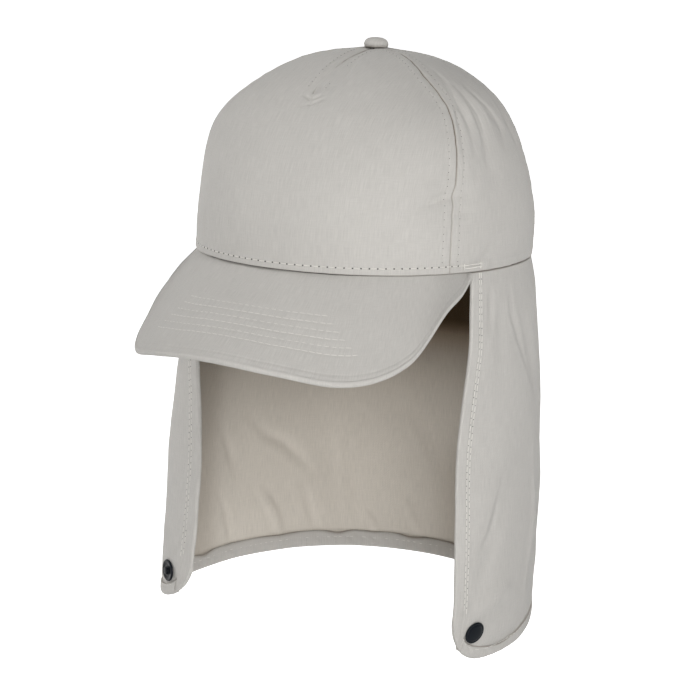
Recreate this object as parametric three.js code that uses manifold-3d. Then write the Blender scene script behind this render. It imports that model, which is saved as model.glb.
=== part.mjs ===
// A five-panel sun cap with a neck flap, at its worn size and in the form it has on a head. Units are millimetres.
// The cap faces -Y, the wearer's left is +X and up is +Z. The origin is the centre of the head opening, level with
// the crown's bottom edge. Angles go round the head from the front (0) over the wearer's left (90) to the back (180).
import * as THREE from "three";
import { mergeVertices } from "three/addons/utils/BufferGeometryUtils.js";
import Module from "manifold-3d";

const wasm = await Module();
wasm.setup();

// Crown
const RIM_HALF_WIDTH = 86.5;
const RIM_HALF_LENGTH = 101;
const RIM_SQUARENESS = 2.15; // 2 is an ellipse, more is squarer
const CROWN_HEIGHT = 109;
const RIM_TUCK = 1; // how far the bottom edge is drawn in under the crown's sides
const RIM_TUCK_HEIGHT = 14;
const CROWN_WALL = 1.5;
const FRONT_SEAM_ANGLE = 58.5; // where the front panel meets a side panel, at the bottom edge
const FRONT_SEAM_BOW = 6.5; // the most degrees that this seam lies further back, higher up
const REAR_SEAM_ANGLE = 128;
const TOP_HOLE_RADIUS = 2.6; // the panels stop here, under the button
const DART_END_RISE = 0.567; // how far up the crown the front dart starts, from 0 at the rim to 1 at the button
const SEAM_GAP = 0.3;

// Top button
const BUTTON_RADIUS = 6.6;
const BUTTON_HEIGHT = 5.4;
const BUTTON_EDGE = 1; // the upright part of its side

// Sweatband
const SWEATBAND_WALL = 1.2;
const SWEATBAND_HEIGHT = 30;
const SWEATBAND_BELOW_RIM = 3.4;
const SWEATBAND_EASE = 0.8; // between it and the crown

// Peak
const PEAK_HALF_ANGLE = 68; // the peak is sewn to the crown from minus this angle to plus it
const PEAK_REACH = 51; // how far its front edge stands out from the rim, seen from above
const PEAK_FRONT_FULLNESS = 48.5; // half the flat stretch of its front edge
const PEAK_SIDE_BULGE = 15; // how far its sides swell past the rim's corner
const PEAK_SIDE_LENGTH = 70; // how far forward its sides run before they turn in
const PEAK_THICKNESS = 3.2;

// Neck flap
const FLAP_LENGTH = 203;
const FLAP_WALL = 1.2;
const FLAP_CORNER_RADIUS = 30;
const FLAP_SWING_LENGTH = 52; // the depth over which the cloth swings out to most of its flare
const FRONT_HEM_WIDTH = 9.5; // the turned front edges, twice as thick
const FLAP_START_ANGLE = PEAK_HALF_ANGLE + 1; // just behind the peak's corner
const CORNER_CURL = 8; // how far the lowest point of the left front corner turns in
const CURL_HEIGHT = 36; // the height above the flap's bottom over which it turns in
const CURL_SPREAD = 38; // how far back from the front edge it reaches

// Binding along the flap's bottom edge
const BINDING_WIDTH = 7.5;
const BINDING_WALL = 0.8;

// Press studs
const STUD_CAP_RADIUS = 6.3;
const STUD_CAP_THICKNESS = 1.8;
const STUD_BACK_RADIUS = 5;
const STUD_BACK_THICKNESS = 2;
const STUD_POST_RADIUS = 1.9;
const STUD_BEHIND_HEM = 1.2; // between the turned front edge and the stud's rim
const STUD_EASE = 0.45; // between a stud and the curved cloth
const STUD_FROM_FRONT = FRONT_HEM_WIDTH + STUD_BEHIND_HEM + STUD_CAP_RADIUS;

const CLEARANCE = 0.3; // between pieces that are sewn or pressed together

// How finely the pieces are divided: columns run round the head, rows from top to bottom.
const PANEL_ROWS = 12;
const SWEATBAND_COLUMNS = 64;
const PEAK_COLUMNS = 34;
const PEAK_ROWS = 7; // from the rim to the outer edge
const FLAP_ROWS = 14;
const FLAP_ROWS_EASING = 1.3; // above 1, the rows lie closer together towards the bottom
const FLAP_COLUMNS = 44; // between the two round corners
const CORNER_COLUMNS = 7;
const ROUND_SIDES = 20; // of the button and the studs
const BUTTON_ROWS = 6;

// How low the peak's outer edge hangs. share: 0 at the middle of the front, 1 at the rim's corner. drop: as a share of
// the deepest one.
const PEAK_DEEPEST = 46;
const PEAK_EDGE = [
  { share: 0, drop: 0.77 },
  { share: 0.25, drop: 0.88 },
  { share: 0.5, drop: 0.99 },
  { share: 0.7, drop: 0.8 },
  { share: 0.85, drop: 0.31 },
  { share: 0.94, drop: 0.15 },
  { share: 1, drop: 0 },
];

// How the crown rises, by the angle from the front: upright says how long its side stays upright, and full how broad
// its top is. With both at 2 it is an ellipse seen from the side.
const CROWN_PROFILE = [
  { angle: 0, upright: 2.25, full: 1.9 },
  { angle: 60, upright: 2.4, full: 2.5 },
  { angle: 120, upright: 2.4, full: 2.6 },
  { angle: 180, upright: 2.5, full: 2.5 },
];

// How far back the seam between the front and side panels lies. back: as a share of FRONT_SEAM_BOW.
const FRONT_SEAM = [
  { rise: 0, back: 0 },
  { rise: 0.12, back: 0.06 },
  { rise: 0.3, back: 0.6 },
  { rise: 0.5, back: 1 },
  { rise: 0.7, back: 0.4 },
  { rise: 0.85, back: 0.65 },
  { rise: 1, back: 1 },
];

// How far the flap hangs out past the rim at its hem, and how much longer it is than at the back. out: as a share of
// FLAP_FLARE, longer: as a share of FLAP_SIDE_EXTRA.
const FLAP_FLARE = 13;
const FLAP_SIDE_EXTRA = 6.5;
const FLAP_PLAN = [
  { angle: 64, out: 0.3, longer: 1.4 },
  { angle: 84, out: 0.7, longer: 1.55 },
  { angle: 100, out: 0.85, longer: 1.25 },
  { angle: 112, out: 0.91, longer: 0.75 },
  { angle: 130, out: 0.95, longer: 0.35 },
  { angle: 150, out: 0.95, longer: 0.15 },
  { angle: 180, out: 0.9, longer: 0 },
  { angle: 210, out: 1, longer: 0.05 },
  { angle: 237, out: 1.15, longer: 0.05 },
  { angle: 260, out: 1.5, longer: 0.3 },
  { angle: 278, out: 1.8, longer: 0.65 },
  { angle: 291, out: 1.65, longer: 0.85 },
  { angle: 308, out: -0.2, longer: 1 },
  { angle: 312, out: -0.65, longer: 1 },
];

// Where the flap's two front edges hang: degrees that each has moved towards the front, by the share of the way down.
const FLAP_EDGES = [
  { share: 0, left: 0, right: 0 },
  { share: 0.03, left: 0, right: 0.7 },
  { share: 0.1, left: 0, right: 5.5 },
  { share: 0.2, left: 0.3, right: 11.5 },
  { share: 0.3, left: 2.2, right: 15 },
  { share: 0.4, left: 3.6, right: 17.3 },
  { share: 0.5, left: 4, right: 18.6 },
  { share: 0.62, left: 3.6, right: 19 },
  { share: 0.77, left: 2.6, right: 18.3 },
  { share: 0.9, left: 2.1, right: 17 },
  { share: 1, left: 2, right: 16 },
];

// The flap's main folds. Each runs from (angle, down) to (angle2, down2), where down is a share of FLAP_LENGTH. width,
// half its breadth, is a share of FOLD_WIDTH, and out, how far it stands out, a share of FOLD_DEPTH.
const FOLD_WIDTH = 9;
const FOLD_DEPTH = 2.4;
const FOLD_END = 0.08; // within this share of its length from an end, a fold keeps its least height
const FLAP_FOLDS = [
  { angle: 96, down: 0.02, angle2: 116, down2: 0.45, width: 0.8, out: -0.85 },
  { angle: 84, down: 0.02, angle2: 84, down2: 0.3, width: 0.7, out: -0.6 },
  { angle: 92, down: 0.55, angle2: 74, down2: 0.88, width: 0.8, out: -0.85 },
  { angle: 142, down: 0.3, angle2: 128, down2: 0.85, width: 1, out: 1 },
  { angle: 172, down: 0.4, angle2: 170, down2: 0.95, width: 0.9, out: 0.75 },
  { angle: 158, down: 0.7, angle2: 150, down2: 0.98, width: 0.8, out: 0.65 },
  { angle: 212, down: 0.3, angle2: 186, down2: 0.75, width: 1, out: 0.75 },
  { angle: 222, down: 0.6, angle2: 212, down2: 0.98, width: 0.9, out: 0.85 },
];

// The crown's dents and, with a depth below 0, its bulges. angle and rise are the middle, spread (degrees) and tall
// (share of the rise) the half sizes. depth: as a share of DENT_DEPTH.
const DENT_DEPTH = 2;
const CROWN_DENTS = [
  { angle: 58, rise: 0.2, spread: 9, tall: 0.07, depth: 1 },
  { angle: 80, rise: 0.3, spread: 7, tall: 0.1, depth: 0.6 },
  { angle: 40, rise: 0.09, spread: 8, tall: 0.06, depth: 0.6 },
  { angle: -42, rise: 0.12, spread: 7, tall: 0.1, depth: 0.5 },
  { angle: -58, rise: 0.41, spread: 24, tall: 0.19, depth: -3 },
  { angle: 125, rise: 0.32, spread: 22, tall: 0.13, depth: 0.75 },
];

const CLOTH = new THREE.Color(0.75, 0.735, 0.705);
const CLOTH_SHADE = new THREE.Color(0.7, 0.67, 0.63);
const DARK_CLOTH = new THREE.Color(0.07, 0.07, 0.075);
const STUD_COLOUR = new THREE.Color(0.08, 0.09, 0.11);

const radians = THREE.MathUtils.degToRad;
const degrees = THREE.MathUtils.radToDeg;
const { lerp } = THREE.MathUtils;

// A smooth curve through the rows of a table: its value at x, with the named columns.
function along(rows, x, from, to) {
  const last = rows.length - 1;
  const i = Math.max(0, Math.min(last - 1, rows.findLastIndex((row) => row[from] <= x)));
  const slope = (a, b) => (rows[b][to] - rows[a][to]) / (rows[b][from] - rows[a][from]);
  const span = rows[i + 1][from] - rows[i][from];
  const t = Math.max(0, Math.min(1, (x - rows[i][from]) / span));
  const start = i > 0 ? slope(i - 1, i + 1) : slope(i, i + 1);
  const end = i < last - 1 ? slope(i, i + 2) : slope(i, i + 1);
  const t2 = t * t;
  const t3 = t2 * t;
  return (
    rows[i][to] * (2 * t3 - 3 * t2 + 1) +
    rows[i + 1][to] * (3 * t2 - 2 * t3) +
    span * (start * (t3 - 2 * t2 + t) + end * (t3 - t2))
  );
}

// A point at an angle round the head, a distance from its axis and a height.
function polar(angle, radius, z) {
  const a = radians(angle);
  return new THREE.Vector3(radius * Math.sin(a), -radius * Math.cos(a), z);
}

function rimRadius(angle) {
  const a = radians(angle);
  const across = Math.abs(Math.sin(a)) / RIM_HALF_WIDTH;
  const ahead = Math.abs(Math.cos(a)) / RIM_HALF_LENGTH;
  return (across ** RIM_SQUARENESS + ahead ** RIM_SQUARENESS) ** (-1 / RIM_SQUARENESS);
}

// A surface given as a function of two values, moved inwards by a depth along its own normal.
function inwards(surface, u, v, depth) {
  const step = 1e-4;
  const here = surface(u, v);
  const alongU = surface(u + step, v).sub(surface(u - step, v));
  const alongV = surface(u, v + step).sub(surface(u, v - step));
  const normal = alongU.cross(alongV).normalize();
  const outwards = new THREE.Vector3(here.x, here.y, 0);
  if (normal.dot(outwards) < 0) normal.negate();
  return here.addScaledVector(normal, -depth);
}

// The same angle between -180 and 180.
function wrapped(angle) {
  return (((angle % 360) + 540) % 360) - 180;
}

// Crown: angle round the head, rise from 0 at the rim to 1 at the top.
function crownDent(angle, rise) {
  return CROWN_DENTS.reduce((sum, dent) => {
    const across = wrapped(angle - dent.angle) / dent.spread;
    const up = (rise - dent.rise) / dent.tall;
    return sum + DENT_DEPTH * dent.depth * Math.exp(-across * across - up * up);
  }, 0);
}

function crownSurface(angle, rise) {
  const fromFront = Math.abs(wrapped(angle));
  const turn = (rise * Math.PI) / 2;
  const share = Math.cos(turn) ** (2 / along(CROWN_PROFILE, fromFront, "angle", "full"));
  const z = CROWN_HEIGHT * Math.sin(turn) ** (2 / along(CROWN_PROFILE, fromFront, "angle", "upright"));
  const tuck = RIM_TUCK * Math.exp(-((z / RIM_TUCK_HEIGHT) ** 2));
  return polar(angle, rimRadius(angle) * share - tuck - crownDent(angle, rise), z);
}

function crownPoint(angle, rise, depth) {
  if (rise > 0) return inwards(crownSurface, angle, rise, depth);
  const start = crownSurface(angle, 0);
  return polar(angle, Math.hypot(start.x, start.y) - depth, 0);
}

// The rise at which the crown has come in to the hole under the button.
const TOP_RISE = (2 / Math.PI) * Math.acos((TOP_HOLE_RADIUS / RIM_HALF_WIDTH) ** (CROWN_PROFILE[1].full / 2));

// Makes one closed body from rings of points. A ring runs along one face of the piece and back along the other, so its
// two ends face each other. The first and last rings are closed off, unless the piece goes all the way round.
function loft(rings, goesRound = false) {
  const size = rings[0].length;
  const points = rings.flat();
  const faces = [];
  const quad = (a, b, c, d) => faces.push(a, b, c, a, c, d);
  const count = goesRound ? rings.length : rings.length - 1;
  for (let i = 0; i < count; i++) {
    const here = i * size;
    const next = ((i + 1) % rings.length) * size;
    for (let j = 0; j < size; j++) {
      const k = (j + 1) % size;
      quad(here + j, here + k, next + k, next + j);
    }
  }
  if (!goesRound) {
    const end = (rings.length - 1) * size;
    for (let j = 0; j < size / 2 - 1; j++) {
      const far = size - 1 - j;
      quad(far, far - 1, j + 1, j);
      quad(end + j, end + j + 1, end + far - 1, end + far);
    }
  }
  const volume = faces.reduce((sum, _, i) => {
    if (i % 3) return sum;
    const [a, b, c] = [points[faces[i]], points[faces[i + 1]], points[faces[i + 2]]];
    return sum + a.dot(b.clone().cross(c));
  }, 0);
  if (volume < 0) faces.reverse();
  const geometry = new THREE.BufferGeometry().setFromPoints(points);
  geometry.setIndex(faces);
  return geometry;
}

// Evenly spaced shares from 0 to 1.
function shares(steps) {
  return Array.from({ length: steps + 1 }, (_, i) => i / steps);
}

// A cloth wall: rings run down its outside and up its inside. point(u, v, depth) is a place on it.
function wall(us, vs, point, thickness, goesRound = false) {
  const rings = us.map((u) => [
    ...vs.map((v) => point(u, v, 0)),
    ...vs.map((v) => point(u, v, thickness)).reverse(),
  ]);
  return loft(rings, goesRound);
}

function toSolid(geometry) {
  const bare = new THREE.BufferGeometry().setAttribute("position", geometry.getAttribute("position"));
  bare.setIndex(geometry.index);
  const merged = mergeVertices(bare, 1e-4);
  const vertProperties = merged.getAttribute("position").array;
  return new wasm.Manifold(
    new wasm.Mesh({ numProp: 3, vertProperties, triVerts: new Uint32Array(merged.index.array) }),
  );
}

function fromSolid(solid) {
  const made = solid.getMesh();
  const geometry = new THREE.BufferGeometry();
  geometry.setAttribute("position", new THREE.BufferAttribute(made.vertProperties, made.numProp));
  geometry.setIndex(new THREE.BufferAttribute(made.triVerts, 1));
  return geometry;
}

function cut(geometry, ...tools) {
  return fromSolid(tools.reduce((solid, tool) => solid.subtract(toSolid(tool)), toSolid(geometry)));
}

// Crown panels
function panelRise(row) {
  return (row / PANEL_ROWS) * TOP_RISE;
}

function frontSeam(rise) {
  return FRONT_SEAM_ANGLE + FRONT_SEAM_BOW * along(FRONT_SEAM, rise, "rise", "back");
}

function crownPanel(startSeam, endSeam, columns) {
  const point = (u, v, depth) => {
    const rise = v * TOP_RISE;
    const [start, end] = [startSeam(rise), endSeam(rise)];
    const here = crownSurface((start + end) / 2, rise);
    const halfGap = degrees(SEAM_GAP / 2 / Math.hypot(here.x, here.y));
    return crownPoint(lerp(start + halfGap, end - halfGap, u), rise, depth);
  };
  return wall(shares(columns), shares(PANEL_ROWS), point, CROWN_WALL);
}

function frontPanel() {
  const panel = crownPanel((rise) => -frontSeam(rise), frontSeam, 20);
  const end = crownSurface(0, DART_END_RISE);
  const slit = new THREE.BoxGeometry(SEAM_GAP, -end.y, CROWN_HEIGHT);
  slit.translate(0, end.y / 2, end.z + CROWN_HEIGHT / 2);
  return cut(panel, slit);
}

function topButton() {
  const bottom = CROWN_HEIGHT + CLEARANCE;
  const edge = bottom + BUTTON_EDGE;
  const dome = new THREE.EllipseCurve(0, edge, BUTTON_RADIUS, BUTTON_HEIGHT - BUTTON_EDGE, 0, Math.PI / 2);
  const under = [new THREE.Vector2(0, bottom), new THREE.Vector2(BUTTON_RADIUS - BUTTON_EDGE, bottom)];
  const profile = [...under, ...dome.getPoints(BUTTON_ROWS)];
  profile[profile.length - 1].x = 0;
  return new THREE.LatheGeometry(profile, ROUND_SIDES).rotateX(Math.PI / 2);
}

function sweatband() {
  const angles = shares(SWEATBAND_COLUMNS).slice(0, -1).map((share) => share * 360);
  const topRise = (2 / Math.PI) * Math.asin((SWEATBAND_HEIGHT / CROWN_HEIGHT) ** (CROWN_PROFILE[1].upright / 2));
  const steps = Math.max(1, Math.floor((topRise / TOP_RISE) * PANEL_ROWS));
  const rises = [0, ...shares(steps).map((share) => share * panelRise(steps)), topRise];
  const besideCrown = CROWN_WALL + SWEATBAND_EASE;
  const besideFlap = Math.max(besideCrown, 2 * FLAP_WALL + CLEARANCE);
  const point = (angle, row, depth) => {
    const place = crownPoint(angle, rises[row], (row < 2 ? besideFlap : besideCrown) + depth);
    if (row === 0) place.z = -SWEATBAND_BELOW_RIM;
    return place;
  };
  return wall(angles, [...rises.keys()], point, SWEATBAND_WALL, true);
}

// Peak: a board with a rounded lip along its outer edge.
const LIP_NOSE = PEAK_THICKNESS / 3; // how far the lip stands out
const LIP_LEVELS = [0.3, 0.7]; // its rows, as shares of the thickness

function peakOutline() {
  const corner = polar(PEAK_HALF_ANGLE, rimRadius(PEAK_HALF_ANGLE), 0);
  const front = -RIM_HALF_LENGTH - PEAK_REACH;
  return new THREE.CubicBezierCurve(
    new THREE.Vector2(0, front),
    new THREE.Vector2(PEAK_FRONT_FULLNESS, front),
    new THREE.Vector2(corner.x + PEAK_SIDE_BULGE, corner.y - PEAK_SIDE_LENGTH),
    new THREE.Vector2(corner.x, corner.y),
  );
}

function peak() {
  const outline = peakOutline();
  const inner = (side) => {
    const angle = side * PEAK_HALF_ANGLE;
    return polar(angle, rimRadius(angle) - RIM_TUCK - CROWN_WALL, -CLEARANCE);
  };
  const outer = (side) => {
    const share = Math.abs(side);
    const edge = outline.getPoint(share);
    const drop = PEAK_DEEPEST * along(PEAK_EDGE, share, "share", "drop");
    return new THREE.Vector3(Math.sign(side) * edge.x, edge.y, -CLEARANCE - drop);
  };
  const rings = shares(PEAK_COLUMNS).map((share) => {
    const side = 2 * share - 1;
    const [start, end] = [inner(side), outer(side)];
    const lower = (place, down) => place.clone().add(new THREE.Vector3(0, 0, -down * PEAK_THICKNESS));
    const top = shares(PEAK_ROWS).map((out) => start.clone().lerp(end, out));
    const under = top.map((place) => lower(place, 1));
    const nose = end.clone().sub(start).setZ(0).setLength(LIP_NOSE);
    const lip = LIP_LEVELS.map((down) => lower(end.clone().add(nose), down));
    return [...top, ...lip, ...under.reverse()];
  });
  return loft(rings);
}

// Neck flap. An angle runs from the wearer's left front edge over the back to the right one.
function swing(down) {
  return 1 - Math.exp(-down / FLAP_SWING_LENGTH);
}

function flapEdges(down) {
  const share = down / FLAP_LENGTH;
  const left = FLAP_START_ANGLE - along(FLAP_EDGES, share, "share", "left");
  return [left, 360 - FLAP_START_ANGLE + along(FLAP_EDGES, share, "share", "right")];
}

function flapFolds(angle, down) {
  const arc = radians(1) * (RIM_HALF_WIDTH + FLAP_FLARE);
  return FLAP_FOLDS.reduce((sum, fold) => {
    const start = new THREE.Vector2(fold.angle * arc, fold.down * FLAP_LENGTH);
    const run = new THREE.Vector2(fold.angle2 * arc, fold.down2 * FLAP_LENGTH).sub(start);
    const here = new THREE.Vector2(angle * arc, down).sub(start);
    const share = Math.max(0, Math.min(1, here.dot(run) / run.lengthSq()));
    const away = here.sub(run.multiplyScalar(share)).length() / (FOLD_WIDTH * fold.width);
    const fade = Math.sin(Math.PI * Math.max(FOLD_END, Math.min(1 - FOLD_END, share)));
    return sum + FOLD_DEPTH * fold.out * fade * Math.exp(-away * away);
  }, 0);
}

// How far the left front corner turns in, by the distance behind its front edge.
function cornerCurl(behind, down) {
  const low = Math.max(0, 1 - (FLAP_LENGTH + FLAP_SIDE_EXTRA - down) / CURL_HEIGHT);
  return CORNER_CURL * low * low * Math.exp(-((behind / CURL_SPREAD) ** 2));
}

function flapSurface(angle, down) {
  const [left, right] = flapEdges(0);
  const [leftHere, rightHere] = flapEdges(down);
  const seam = lerp(left, right, (angle - leftHere) / (rightHere - leftHere));
  const out = FLAP_FLARE * along(FLAP_PLAN, angle, "angle", "out");
  const hanging = rimRadius(angle) + out;
  const share = swing(down) / swing(FLAP_LENGTH);
  const settled = Math.min(1, down / FLAP_SWING_LENGTH);
  const curl = cornerCurl(radians(angle - leftHere) * (RIM_HALF_WIDTH + FLAP_FLARE), down);
  const radius = lerp(rimRadius(seam) - RIM_TUCK, hanging, share) + settled * flapFolds(angle, down) - curl;
  return polar(angle, radius, -CLEARANCE - down);
}

function flapPoint(angle, down, depth) {
  if (down > 0) return inwards(flapSurface, angle, down, depth);
  const start = flapSurface(angle, 0);
  return polar(angle, Math.hypot(start.x, start.y) - depth, start.z);
}

// A place on the flap from how far round it is, from 0 at the left front edge to 1 at the right one.
const FLAP_ARC = radians(flapEdges(FLAP_LENGTH)[1] - flapEdges(FLAP_LENGTH)[0]) * (RIM_HALF_WIDTH + FLAP_FLARE);

function flapAngle(round, down) {
  const [left, right] = flapEdges(down);
  return lerp(left, right, round);
}

// How much shorter the flap is at a distance from its front edge, where its corner is round.
function cornerRise(fromFront) {
  const across = Math.max(0, FLAP_CORNER_RADIUS - fromFront);
  return FLAP_CORNER_RADIUS - Math.sqrt(FLAP_CORNER_RADIUS ** 2 - across ** 2);
}

function flapBottom(round) {
  const longer = along(FLAP_PLAN, flapAngle(round, FLAP_LENGTH), "angle", "longer");
  return FLAP_LENGTH + FLAP_SIDE_EXTRA * longer - cornerRise(Math.min(round, 1 - round) * FLAP_ARC);
}

// Columns round the flap from one distance behind its front edge to the other: close together at the round corners
// and beside the extra distances, even between them.
function flapColumns(start, extra = []) {
  const quarter = shares(CORNER_COLUMNS).map((share) => (share * Math.PI) / 2);
  const corner = quarter.map((turn) => FLAP_CORNER_RADIUS * (1 - Math.cos(turn)));
  const near = [start, ...extra, ...corner.filter((distance) => distance > start + CLEARANCE)].sort((a, b) => a - b);
  const first = near.map((distance) => distance / FLAP_ARC);
  const middle = shares(FLAP_COLUMNS).map((share) => lerp(first.at(-1), 1 - first.at(-1), share));
  return [...first.slice(0, -1), ...middle, ...first.slice(0, -1).map((round) => 1 - round).reverse()];
}

// How far up from the bottom edge the studs sit: their rim just clears the binding, also where the corner is round.
function studRise() {
  const reach = STUD_CAP_RADIUS + CLEARANCE;
  const needed = shares(16).map((share) => {
    const turn = Math.PI * share;
    return BINDING_WIDTH + reach * Math.sin(turn) + cornerRise(STUD_FROM_FRONT - reach * Math.cos(turn));
  });
  return Math.max(...needed) - cornerRise(STUD_FROM_FRONT);
}

function studHole(round) {
  const down = flapBottom(round) - studRise();
  const hole = new THREE.CylinderGeometry(
    STUD_POST_RADIUS + CLEARANCE, STUD_POST_RADIUS + CLEARANCE, 8 * FLAP_WALL, 12);
  return placeOnFlap(hole.rotateX(Math.PI / 2), round, down);
}

// Moves a geometry whose +Z points out of the cloth to a place on the flap's outside.
function placeOnFlap(geometry, round, down) {
  const angle = flapAngle(round, down);
  const place = flapPoint(angle, down, 0);
  const out = place.clone().sub(flapPoint(angle, down, 1)).normalize();
  const turn = new THREE.Quaternion().setFromUnitVectors(new THREE.Vector3(0, 0, 1), out);
  return geometry.applyQuaternion(turn).translate(place.x, place.y, place.z);
}

const STUD_ROUND = STUD_FROM_FRONT / FLAP_ARC;

function neckFlap() {
  const hemEdge = [FRONT_HEM_WIDTH - CLEARANCE / 2, FRONT_HEM_WIDTH + CLEARANCE / 2];
  const columns = flapColumns(0, hemEdge);
  const rows = shares(FLAP_ROWS).map((share) => 1 - (1 - share) ** FLAP_ROWS_EASING);
  const ring = (round) => {
    const fromFront = Math.min(round, 1 - round) * FLAP_ARC;
    const hemmed = fromFront < FRONT_HEM_WIDTH;
    const bottom = flapBottom(round) - (hemmed ? 0 : BINDING_WALL + CLEARANCE);
    const place = (row, depth) => flapPoint(flapAngle(round, row * bottom), row * bottom, depth);
    const thickness = hemmed ? 2 * FLAP_WALL : FLAP_WALL;
    return [...rows.map((row) => place(row, 0)), ...rows.map((row) => place(row, thickness)).reverse()];
  };
  return cut(loft(columns.map(ring)), studHole(STUD_ROUND), studHole(1 - STUD_ROUND));
}

function flapBinding() {
  const columns = flapColumns(FRONT_HEM_WIDTH + 2 * CLEARANCE);
  const outside = -CLEARANCE - BINDING_WALL;
  const inside = FLAP_WALL + CLEARANCE + BINDING_WALL;
  const section = [
    { depth: outside, up: BINDING_WIDTH },
    { depth: outside, up: 0 },
    { depth: inside, up: 0 },
    { depth: inside, up: BINDING_WIDTH },
    { depth: inside - BINDING_WALL, up: BINDING_WIDTH },
    { depth: inside - BINDING_WALL, up: BINDING_WALL },
    { depth: outside + BINDING_WALL, up: BINDING_WALL },
    { depth: outside + BINDING_WALL, up: BINDING_WIDTH },
  ];
  const ring = (round) => section.map(({ depth, up }) => {
    const down = flapBottom(round) - up;
    return flapPoint(flapAngle(round, down), down, depth);
  });
  return loft(columns.map(ring));
}

// Press studs: each is turned about +Z, which points out of the cloth, with the cloth's outside at 0.
function turned(profile, sides = ROUND_SIDES) {
  const points = profile.map(([radius, height]) => new THREE.Vector2(radius, height));
  return new THREE.LatheGeometry(points, sides).rotateX(Math.PI / 2);
}

const STUD_INNER_END = -FLAP_WALL - STUD_EASE - STUD_BACK_THICKNESS;

// The post through the cloth and the rim of the outer half, which both kinds share.
const STUD_POST_AND_RIM = [
  [0, STUD_INNER_END],
  [STUD_POST_RADIUS, STUD_INNER_END],
  [STUD_POST_RADIUS, STUD_EASE],
  [STUD_CAP_RADIUS * 0.94, STUD_EASE],
  [STUD_CAP_RADIUS, STUD_EASE + STUD_CAP_THICKNESS * 0.28],
  [STUD_CAP_RADIUS * 0.94, STUD_EASE + STUD_CAP_THICKNESS * 0.6],
];

function domedCap() {
  return turned([
    ...STUD_POST_AND_RIM,
    [STUD_CAP_RADIUS * 0.7, STUD_EASE + STUD_CAP_THICKNESS * 0.92],
    [0, STUD_EASE + STUD_CAP_THICKNESS],
  ]);
}

function ballStud() {
  return turned([
    ...STUD_POST_AND_RIM,
    [STUD_CAP_RADIUS * 0.66, STUD_EASE + STUD_CAP_THICKNESS * 0.66],
    [STUD_CAP_RADIUS * 0.56, STUD_EASE + STUD_CAP_THICKNESS * 0.4],
    [STUD_CAP_RADIUS * 0.42, STUD_EASE + STUD_CAP_THICKNESS * 0.4],
    [STUD_CAP_RADIUS * 0.36, STUD_EASE + STUD_CAP_THICKNESS * 1.05],
    [STUD_CAP_RADIUS * 0.26, STUD_EASE + STUD_CAP_THICKNESS * 1.3],
    [0, STUD_EASE + STUD_CAP_THICKNESS * 1.35],
  ]);
}

function studBack() {
  const hole = STUD_POST_RADIUS + CLEARANCE;
  const top = -FLAP_WALL - STUD_EASE;
  return turned([
    [hole, STUD_INNER_END],
    [STUD_BACK_RADIUS * 0.9, STUD_INNER_END],
    [STUD_BACK_RADIUS, STUD_INNER_END + STUD_BACK_THICKNESS * 0.3],
    [STUD_BACK_RADIUS, top],
    [hole, top],
    [hole, STUD_INNER_END],
  ]);
}

function onCorner(geometry, round) {
  return placeOnFlap(geometry, round, flapBottom(round) - studRise());
}

const fabric = { roughness: 0.92, metalness: 0 };
const looks = {
  cloth: new THREE.MeshStandardMaterial({ color: CLOTH, ...fabric }),
  binding: new THREE.MeshStandardMaterial({ color: CLOTH_SHADE, ...fabric }),
  sweatband: new THREE.MeshStandardMaterial({ color: DARK_CLOTH, ...fabric }),
  stud: new THREE.MeshStandardMaterial({ color: STUD_COLOUR, roughness: 0.35, metalness: 0.6 }),
};

const cap = new THREE.Group();

function add(name, geometry, material) {
  const piece = new THREE.Mesh(geometry, material);
  piece.name = name;
  cap.add(piece);
}

const fixed = (angle) => () => angle;
const leftRear = fixed(REAR_SEAM_ANGLE);
const back = fixed(180);
const rightRear = fixed(360 - REAR_SEAM_ANGLE);
const rightFront = (rise) => 360 - frontSeam(rise);
add("front_panel", frontPanel(), looks.cloth);
add("side_panel_left", crownPanel(frontSeam, leftRear, 10), looks.cloth);
add("rear_panel_left", crownPanel(leftRear, back, 9), looks.cloth);
add("rear_panel_right", crownPanel(back, rightRear, 9), looks.cloth);
add("side_panel_right", crownPanel(rightRear, rightFront, 10), looks.cloth);
add("top_button", topButton(), looks.cloth);
add("sweatband", sweatband(), looks.sweatband);
add("peak", peak(), looks.cloth);
add("neck_flap", neckFlap(), looks.cloth);
add("flap_binding", flapBinding(), looks.binding);
add("stud_cap_left", onCorner(domedCap(), STUD_ROUND), looks.stud);
add("stud_socket_left", onCorner(studBack(), STUD_ROUND), looks.stud);
add("ball_stud_right", onCorner(ballStud(), 1 - STUD_ROUND), looks.stud);
add("stud_back_right", onCorner(studBack(), 1 - STUD_ROUND), looks.stud);

export default cap;
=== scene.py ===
"""A five-panel cap with a neck flap: its cloth, sewing, binding and studs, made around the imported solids."""

import math

import bpy
import numpy as np
from bpy.props import FloatProperty, FloatVectorProperty, PointerProperty
from mathutils import Matrix, Vector


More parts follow.
